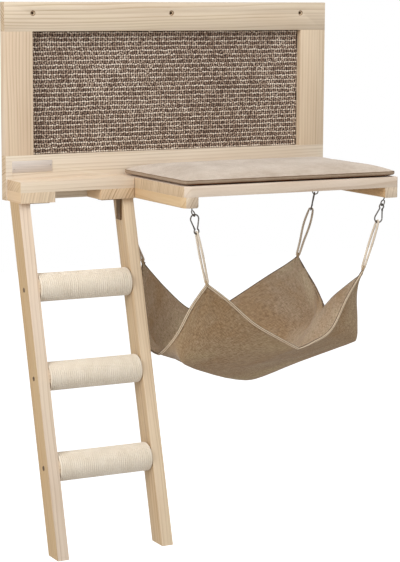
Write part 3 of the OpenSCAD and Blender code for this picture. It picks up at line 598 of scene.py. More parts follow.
low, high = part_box("sisal_panel")
ground_in, front_skin = 0.0008, 0.0012
ground_y = low.y + ground_in
rnd = random.Random(61)
rib_pitch, stitch = 0.00875, 0.00508
rib_shape, bead_faces = dome(0.0052, 0.0036, 0.0016)
yarn_shape, _ = dome(0.0064, 0.0032, 0.0011)
yarn_slant, yarn_spread = 0.42, 0.15
sway_z, mat_rim = 0.0007, 0.0002
points, faces, tones = [], [], []


def add_bead(shape, x, z, slant, tone):
    c, d = math.cos(slant), math.sin(slant)
    first = len(points)
    for px, pz, up in shape:
        points.append((min(max(x + px * c - pz * d, low.x + mat_rim), high.x - mat_rim), ground_y - up,
                       min(max(z + px * d + pz * c, low.z + mat_rim), high.z - mat_rim)))
        tones.extend((tone, tone, tone, 1.0))
    faces.extend(tuple(first + v for v in face) for face in bead_faces)


rows = int((high.z - low.z) / rib_pitch) + 1
for row in range(rows):
    z = high.z - 0.003 - row * rib_pitch
    start = rnd.uniform(0, stitch)
    for col in range(int((high.x - low.x) / stitch) + 1):
        x = low.x + start + col * stitch
        sway = noise.noise((x * 22, z * 22, 3.0))
        patch = 0.13 * noise.noise((x * 30, z * 60, 7.0)) + 0.10 * noise.noise((x * 5, z * 2, 9.0))
        if x < high.x and z > low.z:
            rib_z = z + sway_z * sway + rnd.gauss(0, 0.0004)
            bright = rnd.betavariate(2.2, 1.7)
            add_bead(rib_shape, x, rib_z, rnd.gauss(0.5 * sway, 0.28), 0.46 + 0.60 * bright + patch)
        z2 = z - rib_pitch / 2
        if x < high.x and z2 > low.z:
            slant = math.pi / 2 + (yarn_slant if col % 2 else -yarn_slant) + 0.4 * sway
            slant += rnd.gauss(0, yarn_spread)
            add_bead(yarn_shape, x + rnd.gauss(0, 0.0004), z2 + sway_z * sway, slant,
                     0.08 + 0.66 * rnd.betavariate(1.7, 2.0) + patch)
weave = mesh_object("sisal_weave", points, faces)
tone = weave.data.color_attributes.new(name="tone", type="FLOAT_COLOR", domain="POINT")
tone.data.foreach_set("color", tones)
print("sisal stitches", len(points) // len(rib_shape))


# %% Sisal yarn and its ground, dark as painted shade
def sisal_material():
    n = Nodes("sisal_yarn")
    tone_at = n.add("ShaderNodeAttribute", attribute_name="tone")
    grit = n.noise(n.mapped(n.coords(), scale=(900, 900, 500)), 1.0, 3.0, 0.65)
    value = n.maths("ADD", n.maths("MULTIPLY", (tone_at, "Fac"), 0.8), n.maths("MULTIPLY", grit, 0.22))
    n.colour(n.ramp(value, [(0.12, linear(96, 72, 56)), (0.38, linear(146, 122, 104)),
                            (0.62, linear(186, 165, 146)), (0.88, linear(232, 217, 200))]))
    n.rough(grit, 0.8, 0.95)
    n.bump(grit, 0.5, 0.0006)
    n.sheen(0.15)
    return n.material


# The ground under the beads is nearly black: painted shade for the gaps between the yarns.
def gap_shade_material():
    n = Nodes("sisal_gap_shade")
    grit = n.noise(n.coords(), 500.0, 3.0)
    n.colour(n.ramp(grit, [(0.3, linear(40, 26, 18)), (0.7, linear(66, 46, 34))]))
    n.rough(grit, 0.85, 0.95)
    n.bump(grit, 0.5, 0.0008)
    return n.material


mat = eased_copy("sisal_panel", 0.0004, "sisal_mat")
for v in mat.data.vertices:
    if v.co.y < low.y + front_skin:
        v.co.y += ground_in
put(mat, gap_shade_material())
dress(mat, "frame", "sisal", "sisal_panel")
put(weave, sisal_material())
dress(weave, "frame", "sisal", "sisal_panel")

# %% [markdown]
# ## Backing and nameplate
#
# The backing is raw fibreboard. The small plate on the bottom rail is bare brushed metal, held by two tiny
# pins.

# %% Fibreboard, plate and pins
def fibreboard_material():
    n = Nodes("fibreboard")
    grain = n.noise(n.coords(), 260.0, 4.0, 0.7)
    n.colour(n.ramp(grain, [(0.3, linear(150, 116, 80)), (0.7, linear(188, 154, 112))]))
    n.rough(grain, 0.75, 0.9)
    n.bump(grain, 0.25, 0.0005)
    return n.material


def plate_material():
    n = Nodes("brushed_plate")
    brush = n.noise(n.mapped(n.coords(), scale=(30, 30, 2200)), 1.0, 3.0)
    n.colour(n.ramp(brush, [(0.3, linear(190, 180, 171)), (0.7, linear(218, 207, 198))]))
    n.shader.inputs["Metallic"].default_value = 0.55
    n.rough(brush, 0.4, 0.58)
    n.bump(brush, 0.08, 0.0003)
    return n.material


def steel_material(name, dark, light, rough=(0.28, 0.5)):
    n = Nodes(name)
    spots = n.noise(n.coords(), 700.0, 4.0, 0.6)
    n.colour(n.ramp(spots, [(0.3, linear(*dark)), (0.7, linear(*light))]))
    n.shader.inputs["Metallic"].default_value = 0.9
    n.rough(spots, *rough)
    n.bump(spots, 0.1, 0.0002)
    return n.material


backing = eased_copy("backing_panel", 0.0003, "backing_board")
put(backing, fibreboard_material())
dress(backing, "frame", "backing", "backing_panel")

plate = eased_copy("nameplate", 0.00025, "bare_plate")
put(plate, plate_material())
dress(plate, "frame", "plate", "nameplate")


def domed_pin(name, place, radius, rise):
    """A round pin head seen from the front: rings from the rim to a low crown."""
    points, faces, sides, rings = [], [], 14, 4
    for k in range(rings):
        t = math.pi / 2 * k / rings
        for s in range(sides):
            a = 2 * math.pi * s / sides
            points.append(place + Vector((radius * math.cos(t) * math.cos(a), -rise * math.sin(t),
                                          radius * math.cos(t) * math.sin(a))))
    top = len(points)
    points.append(place + Vector((0, -rise, 0)))
    for k in range(rings):
        for s in range(sides):
            a, b = k * sides + s, k * sides + (s + 1) % sides
            faces.append((a, b, b + sides, a + sides) if k < rings - 1 else (a, b, top))
    faces.append(tuple(range(sides)))
    return outward(mesh_object(name, points, faces))


low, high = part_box("nameplate")
pin_z = (low.z + high.z) / 2 + 0.002
pin_in, pin_drop, pin_r, pin_rise = 0.0035, 0.006, 0.0013, 0.0008
pins = [domed_pin(name, Vector((x, low.y + 0.0001, z)), pin_r, pin_rise)
        for name, x, z in (("pin_a", low.x + pin_in, pin_z - pin_drop), ("pin_b", high.x - pin_in, pin_z))]
pins = joined("plate_pins", pins)
put(pins, steel_material("pin_steel", (150, 144, 138), (206, 200, 194)))
dress(pins, "frame", "dark_steel")

# %% [markdown]
# ## Steel parts
#
# Screws and nails keep their CAD shapes and get dark bronzed steel. The snap hooks and screw eyes are bent
# wire, and six flat sides show on a wire this thin, so each is swept again along its own centre line with a
# round section.

# %% Screws, nails, dowels and rods
dark_steel = steel_material("dark_steel", (78, 74, 70), (134, 128, 122))
bronze_steel = steel_material("screw_steel", (78, 58, 40), (122, 96, 70))
for node in ("panel_nails", "step_screws", "shelf_screws", "board_screws", "rung_screws", "bracket_screws"):
    put(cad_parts[node], bronze_steel)
put(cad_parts["frame_dowels"], pine("pine_dowels", "z", 21, Vector((0, 0, 0)), (0.1, 0.1), ring=0.004))
for k in (1, 2, 3):
    core = "rung_core_%d" % k
    put(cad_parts[core], pine("pine_" + core, "x", 21 + k, rung_axes[k - 1], (0.05, 0.08)))

# The angle brackets are dark bronze, darkened further as painted shade for the shade under the cleats.
for side in ("left", "right"):
    angle = eased_copy("ladder_bracket_" + side, 0.0004, "angle_bracket_" + side)
    put(angle, steel_material("bracket_bronze_shaded_" + side, (84, 58, 28), (124, 94, 54)))
    dress(angle, "frame", "dark_steel", "ladder_bracket_" + side)

# %% Screw eyes from one bent wire
eye_tilt = [20, -20, 8, -24]
eye_ring_z, eye_r = -11.9, 5.6
shelf_under = -351.0
for i, key in enumerate(corner_names):
    tilt = math.radians(eye_tilt[i])
    reach = eye_ring_z - eye_r
    entry = Vector((pivots[i][0] + reach * math.sin(tilt), pivots[i][1], shelf_under))
    local = [(0, 14.0), (0, 4.0), (0, -2.5), (0.1, -4.4), (0.6, -5.6)]
    local += [(eye_r * math.cos(math.radians(a)), eye_ring_z + eye_r * math.sin(math.radians(a)))
              for a in range(68, -251, -12)]
    turn = math.radians(hook_turn[i])
    path = []
    for across, z in local:
        x, y = -across * math.sin(turn), across * math.cos(turn)
        path.append(entry + Vector((x * math.cos(tilt) - z * math.sin(tilt), y,
                                    x * math.sin(tilt) + z * math.cos(tilt))))
    path = smooth_path([p / 1000 for p in path], 2)
    eye = sweep("bent_eye_" + key, path, wire(0.0024), hint=(math.cos(turn), math.sin(turn), 0.1), uv="wire")
    put(eye, dark_steel)
    dress(eye, "frame", "dark_steel", "screw_eye_" + key)

# %% Snap hooks from one bent wire
big_r, big_z, small_r, small_z = 8.4, -5.38, 4.8, -28.98
waist_x, waist_z, waist_a = 2.75, -25.046, 55.05
tangent_a, nose_a = -17.07, 188
gate_x, gate_z = -3.15, -23.946
hook_flip = [False, True, False, False]


def in_hook(i, p):
    """A point of the hook's own drawing, turned end for end where the hook hangs upside down."""
    if hook_flip[i]:
        p = (-p[0], p[1], hook_top + hook_low - p[2])
    return at_hook(i, p) / 1000


for i, key in enumerate(corner_names):
    line = [(big_r * math.cos(math.radians(a)), 0, big_z + big_r * math.sin(math.radians(a)))
            for a in np.linspace(nose_a, tangent_a, 26)]
    line += [(line[-1][0] + (waist_x - line[-1][0]) * t, 0, line[-1][2] + (waist_z - line[-1][2]) * t)
             for t in (0.33, 0.66)]
    line += [(small_r * math.cos(math.radians(a)), 0, small_z + small_r * math.sin(math.radians(a)))
             for a in np.linspace(waist_a, waist_a - 290 + 0.1, 22)]
    path = smooth_path([in_hook(i, p) for p in line], 2)
    normal = at_hook(i, (0, 1, 0)) - at_hook(i, (0, 0, 0))
    parts = [sweep("hook_wire_" + key, path, wire(0.0027), hint=tuple(normal), uv="wire")]
    for face in (-1, 1):
        ends = [in_hook(i, (gate_x, face * y, gate_z)) for y in (0.7, 1.0, 1.5)]
        parts.append(sweep("cheek", ends, wire(0.0027, 18), hint=(0, 0, 1), uv="wire"))
        ends = [in_hook(i, (gate_x, face * y, gate_z)) for y in (1.5, 1.7, 1.9)]
        parts.append(sweep("rivet_head", ends, wire(0.0015, 14), hint=(0, 0, 1), uv="wire"))
    hook = joined("snap_hook_" + key, parts)
    bpy.ops.object.shade_smooth_by_angle(angle=math.radians(40))
    put(hook, dark_steel)
    dress(hook, "link_" + key, "dark_steel", "hook_" + key)
    put(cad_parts["gate_rivet_" + key], dark_steel)
    put(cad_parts["hook_gate_" + key], dark_steel)

# %% [markdown]
# ## Rope on the rungs
#
# Each rung is a rod wound tightly with 4 mm cotton rope. One helix of 47 turns per rung is swept as a laid
# rope whose section is pressed towards a box, because each turn is squeezed between its neighbours.

# %% Cotton rope
def cotton_material(name, pale, deep):
    n = Nodes(name)
    uv = n.add("ShaderNodeUVMap", uv_map="rope")
    yarn = n.noise(n.mapped((uv, "UV"), scale=(0.9, 14, 1)), 1.2, 3.0, 0.6)
    fuzz = n.noise(n.coords(), 900.0, 3.0)
    cloud = n.noise(n.coords(), 45.0, 2.0)
    mix = n.maths("ADD", n.maths("ADD", n.maths("MULTIPLY", yarn, 0.4), n.maths("MULTIPLY", fuzz, 0.35)),
                  n.maths("MULTIPLY", cloud, 0.25))
    n.colour(n.ramp(mix, [(0.36, linear(*deep)), (0.6, linear(*pale))]))
    n.shader.inputs["Roughness"].default_value = 0.9
    n.sheen(0.35, 0.5)
    n.bump(mix, 0.5, 0.0005)
    return n.material


cotton = cotton_material("cotton_rope", (232, 218, 198), (186, 166, 142))
rung_cotton = cotton_material("rung_cotton", (240, 229, 212), (220, 205, 182))
for loop in rope_loops:
    put(loop, cotton)

# %% Wind the rungs
wound_r, wound_turns, turn_steps = 0.0254, 47, 20
rung_rope_d, rung_rope_lay, end_gap = 0.0041, 0.0095, 0.0022
for k in (1, 2, 3):
    low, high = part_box("rung_core_%d" % k)
    mid = (low + high) / 2
    x0, x1 = low.x + end_gap, high.x - end_gap
    steps = wound_turns * turn_steps
    path = []
    for s in range(steps + 1):
        a = 2 * math.pi * wound_turns * s / steps
        r = wound_r + 0.00018 * noise.noise((s * 0.05, k, 0))
        path.append(Vector((x0 + (x1 - x0) * s / steps, mid.y + r * math.cos(a), mid.z + r * math.sin(a))))
    section = laid_rope(rung_rope_d, rung_rope_lay, sides=8, deep=0.05, square=4.0)
    winding = sweep("rung_winding_%d" % k, path, section, hint=(1, 0, 0))
    put(winding, rung_cotton)
    dress(winding, "frame", "cotton_rope", "rung_rope_%d" % k)
    print("rung", k, "rope", round(length_of(path), 2), "m")

# %% [markdown]
# ## Cushion
#
# A thin boxed pad lies on the large shelf. Its top panel is a low crown, its band is drawn in between two
# welted seams, its corners are small, and its right end is slightly longer than the left. The pad starts as
# a grid whose corners are rounded and whose heights come from the distance to the edge. Air pressure in a
# short cloth simulation then swells the panels between the seams, which are pinned.

# %% Grid of the pad
low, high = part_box("cushion")
pad_mid = (low + high) / 2
half_x, half_y = (high.x - low.x) / 2 - 0.0002, (high.y - low.y) / 2 - 0.0002
corner_r, band_h, rise = 0.011, 0.0100, 0.0155
count_x, count_y = 84, 48


def pad_place(s, t, inset=0.0):
    """Point of the rounded outline's grid, s and t from -1 to 1, and its distance from the edge."""
    hx, hy = half_x - inset, half_y - inset
    x, y = s * hx, t * hy
    r = max(corner_r - inset, 0.003)
    dx, dy = abs(x) - (hx - r), abs(y) - (hy - r)
    edge = min(hx - abs(x), hy - abs(y))
    if dx > 0 and dy > 0:
        big = max(dx, dy)
        far = math.hypot(dx, dy)
        x = math.copysign(hx - r + dx * big / far, x)
        y = math.copysign(hy - r + dy * big / far, y)
        edge = r - big
    return x, y, edge


points, faces = [], []


def closer_at_edge(share):
    """A share from 0 to 1 as a place from -1 to 1, with the places closer together at both ends."""
    even = 2 * share - 1
    return math.sin(math.pi / 2 * even) * 0.35 + even * 0.65


def grid_of(inset, height):
    first = len(points)
    for j in range(count_y + 1):
        for i in range(count_x + 1):
            x, y, edge = pad_place(closer_at_edge(i / count_x), closer_at_edge(j / count_y), inset)
            points.append((pad_mid.x + x, pad_mid.y + y, low.z + height(max(edge, 0.0))))
    return first


def rim_of(first):
    w = count_x + 1
    ring = [first + i for i in range(count_x)] + [first + j * w + count_x for j in range(count_y)]
    ring += [first + count_y * w + i for i in range(count_x, 0, -1)]
    return ring + [first + j * w for j in range(count_y, 0, -1)]


def outset(x, y, out):
    """A place of the rim, moved outwards from the pad's middle."""
    return (pad_mid.x + (x - pad_mid.x) * (1 + out / half_x),
            pad_mid.y + (y - pad_mid.y) * (1 + out / half_y))


top_first = grid_of(0.0012, lambda e: band_h + rise * (1 - math.exp(-e / 0.0265)))
rims = [rim_of(top_first)]
for out, z in ((0.0004, 0.0092), (0.0010, 0.0076), (0.0010, 0.0056), (0.0, 0.0040), (-0.0026, 0.0030)):
    rims.append([len(points) + k for k in range(len(rims[0]))])
    points += [(*outset(*points[v][:2], out), low.z + z) for v in rims[0]]
bottom_first = grid_of(0.008, lambda e: 0.0002 + 0.0016 * math.exp(-e / 0.004))
rims.append(rim_of(bottom_first))
for first, flip in ((top_first, False), (bottom_first, True)):
    for j in range(count_y):
        for i in range(count_x):
            a = first + j * (count_x + 1) + i
            face = (a, a + 1, a + count_x + 2, a + count_x + 1)
            faces.append(face[::-1] if flip else face)
for upper, lower in zip(rims, rims[1:]):
    for k in range(len(upper)):
        m = (k + 1) % len(upper)
        faces.append((upper[k], lower[k], lower[m], upper[m]))
cushion = outward(mesh_object("cushion_pad", points, faces))
print("cushion start", len(points), "points")


# %% Swell the pad between its seams
def inflate(obj, pressure, frames, cap, pins):
    rest = [v.co.copy() for v in obj.data.vertices]
    group = obj.vertex_groups.new(name="seams")
    group.add(pins, 1.0, "REPLACE")
    only(obj)
    cloth = obj.modifiers.new("cloth", "CLOTH")
    cloth.settings.use_pressure = True
    cloth.settings.uniform_pressure_force = pressure
    cloth.settings.effector_weights.gravity = 0
    cloth.settings.quality = 4
    cloth.settings.vertex_group_mass = "seams"
    for f in range(1, frames + 1):
        scene.frame_set(f)
    bpy.ops.object.modifier_apply(modifier="cloth")
    scene.frame_set(1)
    obj.vertex_groups.clear()
    for v, r in zip(obj.data.vertices, rest):
        move = v.co - r
        if move.length > cap:
            move *= cap / move.length
        v.co = r + move
    return obj


bottom_points = set(range(bottom_first, bottom_first + (count_x + 1) * (count_y + 1)))
inflate(cushion, pressure=2.0, frames=20, cap=0.006, pins=sorted(set(rims[0]) | bottom_points))
for v in cushion.data.vertices:
    crease = noise.noise((v.co.x * 14, v.co.y * 18, 1.0)) + 0.5 * noise.noise((v.co.x * 40, v.co.y * 44, 4.0))
    lift = min(max((v.co.z - low.z - band_h) / 0.006, 0.0), 1.0)
    v.co.z += 0.0009 * crease * lift
crown = cushion.modifiers.new("soften", "SMOOTH")
crown.iterations = 2
finer = cushion.modifiers.new("finer", "SUBSURF")
finer.levels = 1
apply_all(cushion)
bpy.ops.object.shade_smooth()
print("cushion height", round(1000 * (max(v.co.z for v in cushion.data.vertices) - low.z), 1), "mm")

# %% Welts along the seams, darker than the cloth as painted shade in the seam creases
def welt(name, z, out, diameter):
    path = []
    for v in rims[0] + rims[0][:1]:
        x, y = outset(*points[v][:2], out)
        path.append(Vector((x, y, low.z + z + 0.0004 * noise.noise((x * 60, y * 60, z * 99)))))
    return sweep(name, path, wire(diameter, 8), hint=(0, 0, 1), uv="welt")


welts = joined("cushion_seams", [welt("seam_top", band_h - 0.0002, 0.0002, 0.0014),
                                 welt("seam_low", 0.0038, -0.0010, 0.0011)])


# %% Fabric of the cushion
def pile_material(name, deep, pale, sheen=0.25):
    n = Nodes(name)
    cloud = n.noise(n.coords(), 16.0, 4.0, 0.6)
    fleck = n.noise(n.coords(), 700.0, 2.0)
    thread = n.noise(n.mapped(n.coords(), scale=(60, 900, 400)), 1.0, 2.0)
    mix = n.maths("ADD", n.maths("ADD", n.maths("MULTIPLY", cloud, 0.45), n.maths("MULTIPLY", fleck, 0.3)),
                  n.maths("MULTIPLY", thread, 0.25))
    n.colour(n.ramp(mix, [(0.38, linear(*deep)), (0.62, linear(*pale))]))
    n.shader.inputs["Roughness"].default_value = 0.95
    n.sheen(sheen, 0.4)
    if not sheen:
        n.shader.inputs["Specular IOR Level"].default_value = 0.05
    n.bump(n.maths("ADD", fleck, thread), 0.5, 0.0008)
    return n.material


put(cushion, pile_material("cushion_pile", (176, 158, 139), (213, 199, 184)),
    pile_material("cushion_band_shaded", (148, 127, 105), (172, 151, 129), 0.1),
    pile_material("cushion_base_painted_shadow", (104, 54, 20), (126, 72, 32), 0.0))
shaded_band_slot, shadow_line_slot = 1, 2
# The lowest strip of the band and the underside are dark brown: painted shadow, the dark line where the pad
# meets the shelf.
shadow_line_top, seam_half = 0.0034, 0.0006
for poly in cushion.data.polygons:
    if poly.center.z < low.z + shadow_line_top:
        poly.material_index = shadow_line_slot
    # The band takes a darker copy of the pile: painted shade on the side that the light from above misses.
    elif poly.center.z < low.z + band_h - seam_half and abs(poly.normal.z) < 0.8:
        poly.material_index = shaded_band_slot

longer, longer_from = 0.0028, 0.06
for obj in (cushion, welts):
    for v in obj.data.vertices:
        v.co.x += longer * min(max((v.co.x - high.x) / longer_from + 1, 0.0), 1.0)
# The welts' darker brown is painted shade, the dark line along each seam.
put(welts, pile_material("seam_painted_shade", (124, 101, 79), (150, 127, 103), 0.0))
dress(cushion, "cushion", "cushion_fabric", "cushion")
dress(welts, "cushion", "cushion_fabric")

# %% [markdown]
# ## Hammock cloth
#
# The hammock is one square of coarse burlap held by its four corners. Every edge hangs in a sharp V,
# because the cloth's weight pulls it into a pouch with four folds that run down from the corners. The four
# edges show as lines from any side, so each is drawn through nine places of its own. Nine more places give
# the pouch between them. The curves are smooth, except where a pull is set: there the cloth has a fold, as
# at the low point of every edge.

# %% Places of the hanging cloth, in millimetres
corner_fl, corner_fr, corner_bl, corner_br = corners
edge_front = [corner_fl, (-2, -264, -531), (56, -259, -579), (120, -254, -616), (160, -251, -637),
              (188, -250, -629), (230, -252, -606), (263, -257, -543), corner_fr]
edge_back = [corner_bl, (-55, -48, -505), (-25, -51, -538), (17, -52, -576), (60, -57, -597),
             (119, -54, -569), (202, -50, -528), (249, -48, -506), corner_br]
edge_left = [corner_fl, (-73, -243, -542), (-87, -214, -597), (-85, -162, -633), (-82, -125, -650),
             (-96, -103, -634), (-92, -74, -575), (-87, -57, -523), corner_bl]
edge_right = [corner_fr, (303, -245, -503), (303, -208, -524), (300, -152, -559), (300, -116, -586),
              (301, -101, -572), (298, -79, -547), (287, -60, -516), corner_br]
pouch = [[(-69, -214, -652), (71, -194, -682), (303, -228, -639)],
         [(11, -154, -682), (103, -160, -712), (209, -150, -670)],
         [(-58, -80, -648), (83, -97, -688), (287, -82, -619)]]
low_pull = 0.9
# By row and column of the net: the pull on the curve across and on the curve to the back. A pull below 0
# carries the curve further straight on.
fold_pulls = {(1, 1): (0.4, 0.4), (1, 3): (0.75, 0.5), (3, 1): (0.5, 0.5), (3, 3): (0.5, 0.5),
              (1, 4): (0, -2)}
# How soon the hold of an edge fades towards the middle: a higher number fades sooner.
front_hold, back_hold, left_hold, right_hold = 6, 2, 8, 8

front, back, left, right = (np.array(edge) / 1000 for edge in (edge_front, edge_back, edge_left, edge_right))
net = np.zeros((5, 5, 3))
net[0], net[4], net[:, 0], net[:, 4] = front[::2], back[::2], left[::2], right[::2]
net[1:4, 1:4] = np.array(pouch) / 1000
edge_pull, pull_across, pull_back = np.zeros((9, 1)), np.zeros((5, 5)), np.zeros((5, 5))
edge_pull[4] = pull_across[0, 2] = pull_across[4, 2] = pull_back[2, 0] = pull_back[2, 4] = low_pull
for place, (across, backwards) in fold_pulls.items():
    pull_across[place], pull_back[place] = across, backwards


# %% Curves through the places
def span_of(t, spans):
    """Which span of a curve each share in t falls into, and how far along that span."""
    k = np.minimum((t * spans).astype(int), spans - 1)
    return k, t * spans - k


def through(knots, pull, t):
    """Cubic curve through the knots at shares t of the way. A pull of 1 stops the curve dead at its knot."""
    spans = len(knots) - 1
    k, s = span_of(t, spans)
    s = s.reshape((-1,) + (1,) * (knots.ndim - 1))
    a, b, c, d = knots[np.maximum(k - 1, 0)], knots[k], knots[k + 1], knots[np.minimum(k + 2, spans)]
    go, come = (c - a) / 2 * (1 - pull[k]), (d - b) / 2 * (1 - pull[k + 1])
    return ((2 * s ** 3 - 3 * s ** 2 + 1) * b + (s ** 3 - 2 * s ** 2 + s) * go
            + (-2 * s ** 3 + 3 * s ** 2) * c + (s ** 3 - s ** 2) * come)


def pouch_grid(u, v):
    """Points [len(v), len(u), 3] of the smooth pouch at shares u across and v back."""
    rows = through(net.transpose(1, 0, 2), pull_across.T[..., None], u)
    k, s = span_of(u, len(net) - 1)
    pull = pull_back.T[k] * (1 - s[:, None]) + pull_back.T[k + 1] * s[:, None]
    return through(rows.transpose(1, 0, 2), pull.T[..., None], v)


def cloth_grid(u, v):
    """The same points, with the pouch drawn to its four edges."""
    form = pouch_grid(u, v)
    ends = np.array([0.0, 1.0])
    rows, columns = pouch_grid(u, ends), pouch_grid(ends, v)
    for edge, own, near, hold in ((front, rows[0], 1 - v, front_hold), (back, rows[1], v, back_hold)):
        form = form + (near ** hold)[:, None, None] * (through(edge, edge_pull, u) - own)[None]
    for edge, own, near, hold in ((left, columns[:, 0], 1 - u, left_hold),
                                  (right, columns[:, 1], u, right_hold)):
        form = form + (near ** hold)[None, :, None] * (through(edge, edge_pull, v) - own)[:, None]
    return form


# %% Lay a fine grid on the form, with creases
bag_mid = Vector((0.115, -0.155, -0.52))
cells, side_m, edge_in, cloth_t = 112, 0.44, 0.004, 0.0014
share = np.linspace(edge_in, 1 - edge_in, cells + 1)
form = cloth_grid(share, share)
normals = np.cross(np.gradient(form, axis=1), np.gradient(form, axis=0))
normals /= np.linalg.norm(normals, axis=2, keepdims=True) + 1e-12
points, uvs = [], []
for j in range(cells + 1):
    for i in range(cells + 1):
        p = form[j, i]
        u, v = share[i] * side_m, share[j] * side_m
        lift = 0.0012 * noise.noise((u * 22, v * 22, 2.0)) + 0.0004 * noise.noise((u * 75, v * 75, 5.0))
        for cu, cv in ((0, 0), (side_m, 0), (0, side_m), (side_m, side_m)):
            r = math.hypot(u - cu, v - cv)
            a = math.atan2(abs(v - cv), abs(u - cu) + 1e-9)
            lift += 0.0017 * math.exp(-r / 0.05) * min(r / 0.02, 1.0) * math.cos(a * 13 + cu * 9)
        edge = min(i, j, cells - i, cells - j) / cells * side_m
        lift *= min(edge / 0.012, 1.0)
        points.append(tuple(p + normals[j, i] * lift))
        uvs.append((u, v))
faces = []
for j in range(cells):
    for i in range(cells):
        a = j * (cells + 1) + i
        faces.append((a, a + cells + 1, a + cells + 2, a + 1))
cloth = mesh_object("hammock_sheet", points, faces)
layer = cloth.data.uv_layers.new(name="cloth")
for loop in cloth.data.loops:
    layer.data[loop.index].uv = uvs[loop.vertex_index]
print("cloth area", round(sum(p.area for p in cloth.data.polygons), 4), "m2")
thick = cloth.modifiers.new("thick", "SOLIDIFY")
thick.thickness = cloth_t
thick.offset = 0
apply_all(cloth)
outward(cloth)


# %% Burlap
def burlap_material(name, deep=(120, 93, 63), body=(153, 125, 91), light=(182, 156, 124)):
    n = Nodes(name)
    uv = (n.add("ShaderNodeUVMap", uv_map="cloth"), "UV")
    at = n.pushed(uv, n.noise(uv, 40.0), 0.0016)
    split = n.add("ShaderNodeSeparateXYZ")
    n.link(at[0], at[1], split, "Vector")
    pitch = 0.0017
    warp = n.maths("SINE", n.maths("MULTIPLY", (split, 0), 2 * math.pi / pitch))
    weft = n.maths("SINE", n.maths("MULTIPLY", (split, 1), 2 * math.pi / pitch))
    cross = n.maths("MULTIPLY", warp, weft)
    slub = n.noise(n.mapped(uv, scale=(130, 760, 1)), 1.0, 2.0)
    slub_up = n.noise(n.mapped(uv, scale=(760, 130, 1)), 1.0, 2.0)
    fine = n.noise(uv, 1100.0, 2.0)
    height = n.maths("ADD", n.maths("MULTIPLY", cross, 0.12), n.maths("ADD", slub, slub_up))
    value = n.maths("ADD", n.maths("MULTIPLY", height, 0.42), n.maths("MULTIPLY", fine, 0.50))
    tone = n.ramp(value, [(0.53, linear(*deep)), (0.67, linear(*body)), (0.81, linear(*light))])
    cloud = n.noise(uv, 9.0, 4.0, 0.62)
    patch = n.ramp(cloud, [(0.36, (0.90, 0.82, 0.70, 1)), (0.5, (1, 1, 1, 1)), (0.64, (1.14, 1.22, 1.22, 1))])
    n.colour(n.mix("MULTIPLY", 1.0, tone, patch))
    n.shader.inputs["Roughness"].default_value = 0.92
    n.sheen(0.2)
    n.bump(height, 0.6, 0.0008)
    return n.material


# The cloth's inner faces get a lighter copy of the burlap: painted light that lifts the shade inside the
# pouch.
lit_inner_slot = 1
put(cloth, burlap_material("burlap"),
    burlap_material("burlap_inside_painted_light", (152, 129, 104), (190, 167, 140), (218, 198, 173)))
for poly in cloth.data.polygons:
    if poly.normal.dot(bag_mid - poly.center) > 0:
        poly.material_index = lit_inner_slot
dress(cloth, "hammock", "burlap", "hammock_cloth")

# %% [markdown]
# The raw edge is folded over to the outside and held by two thin cords side by side, so that from inside
# only the fold shows. At each corner a few turns of yarn bind the cloth to the end of its rope loop.

# %% Hem and cords round the edge
per_side, inside_by = 44, 0.02
shares = np.linspace(0, 1, per_side)
edges_round = [[(t, 0.0) for t in shares], [(1.0, t) for t in shares],
               [(1 - t, 1.0) for t in shares], [(0.0, 1 - t) for t in shares]]
inward = [(0, 1), (-1, 0), (0, -1), (1, 0)]


def cloth_at(u, v):
    return Vector(cloth_grid(np.array([u]), np.array([v]))[0, 0])


rim = []
for edge, (du, dv) in zip(edges_round, inward):
    for (u, v), after in zip(edge, edge[1:]):
        p = cloth_at(u, v)
        along = (cloth_at(*after) - p).normalized()
        inside = cloth_at(u + du * inside_by, v + dv * inside_by) - p
        inside = (inside - inside.dot(along) * along).normalized()
        out = along.cross(inside)
        if out.dot(p - bag_mid) < 0:
            out = -out
        rim.append([p, inside, out])
for _ in range(2):
    for k in range(len(rim)):
        a, b = rim[k - 1][2], rim[(k + 1) % len(rim)][2]
        rim[k][2] = (a + 2 * rim[k][2] + b).normalized()


def edge_cord(name, down, off, diameter):
    path = [p + inside * down + out * off for p, inside, out in rim]
    path.append(path[0])
    return sweep(name, path, laid_rope(diameter, 0.006, sides=8, deep=0.12))


cords = joined("hammock_edge_cords", [edge_cord("cord_outer", down=0.0006, off=0.0017, diameter=0.0018),
                                      edge_cord("cord_inner", down=0.0034, off=0.0019, diameter=0.0017)])
put(cords, cotton_material("edge_cord", (238, 219, 191), (204, 179, 147)))
dress(cords, "hammock", "cotton_rope", "hammock_piping")

hem_section = ((-0.0006, 0.0), (0.0002, 0.0010), (0.0064, 0.0011), (0.0072, 0.0004), (0.0036, -0.0002),
               (0.0, -0.0009))
ring = len(hem_section)
band = [p + inside * down + out * off for p, inside, out in rim + rim[:1] for down, off in hem_section]
band_faces = []
for k in range(len(rim)):
    for s in range(ring):
        a, b = k * ring + s, k * ring + (s + 1) % ring
        band_faces.append((a, b, b + ring, a + ring))
hem = mesh_object("hammock_hem", band, band_faces)
layer = hem.data.uv_layers.new(name="cloth")
for loop in hem.data.loops:
    layer.data[loop.index].uv = ((loop.vertex_index // ring) * 0.0026, (loop.vertex_index % ring) * 0.0016)
outward(hem)
put(hem, burlap_material("hem_burlap"),
    burlap_material("hem_edge", (72, 56, 42), (104, 84, 65), (128, 106, 84)))
shaded_slot, shaded_faces = 1, (0, 4, 5)
for poly in hem.data.polygons:
    if poly.index % ring in shaded_faces:
        poly.material_index = shaded_slot
dress(hem, "hammock", "burlap")

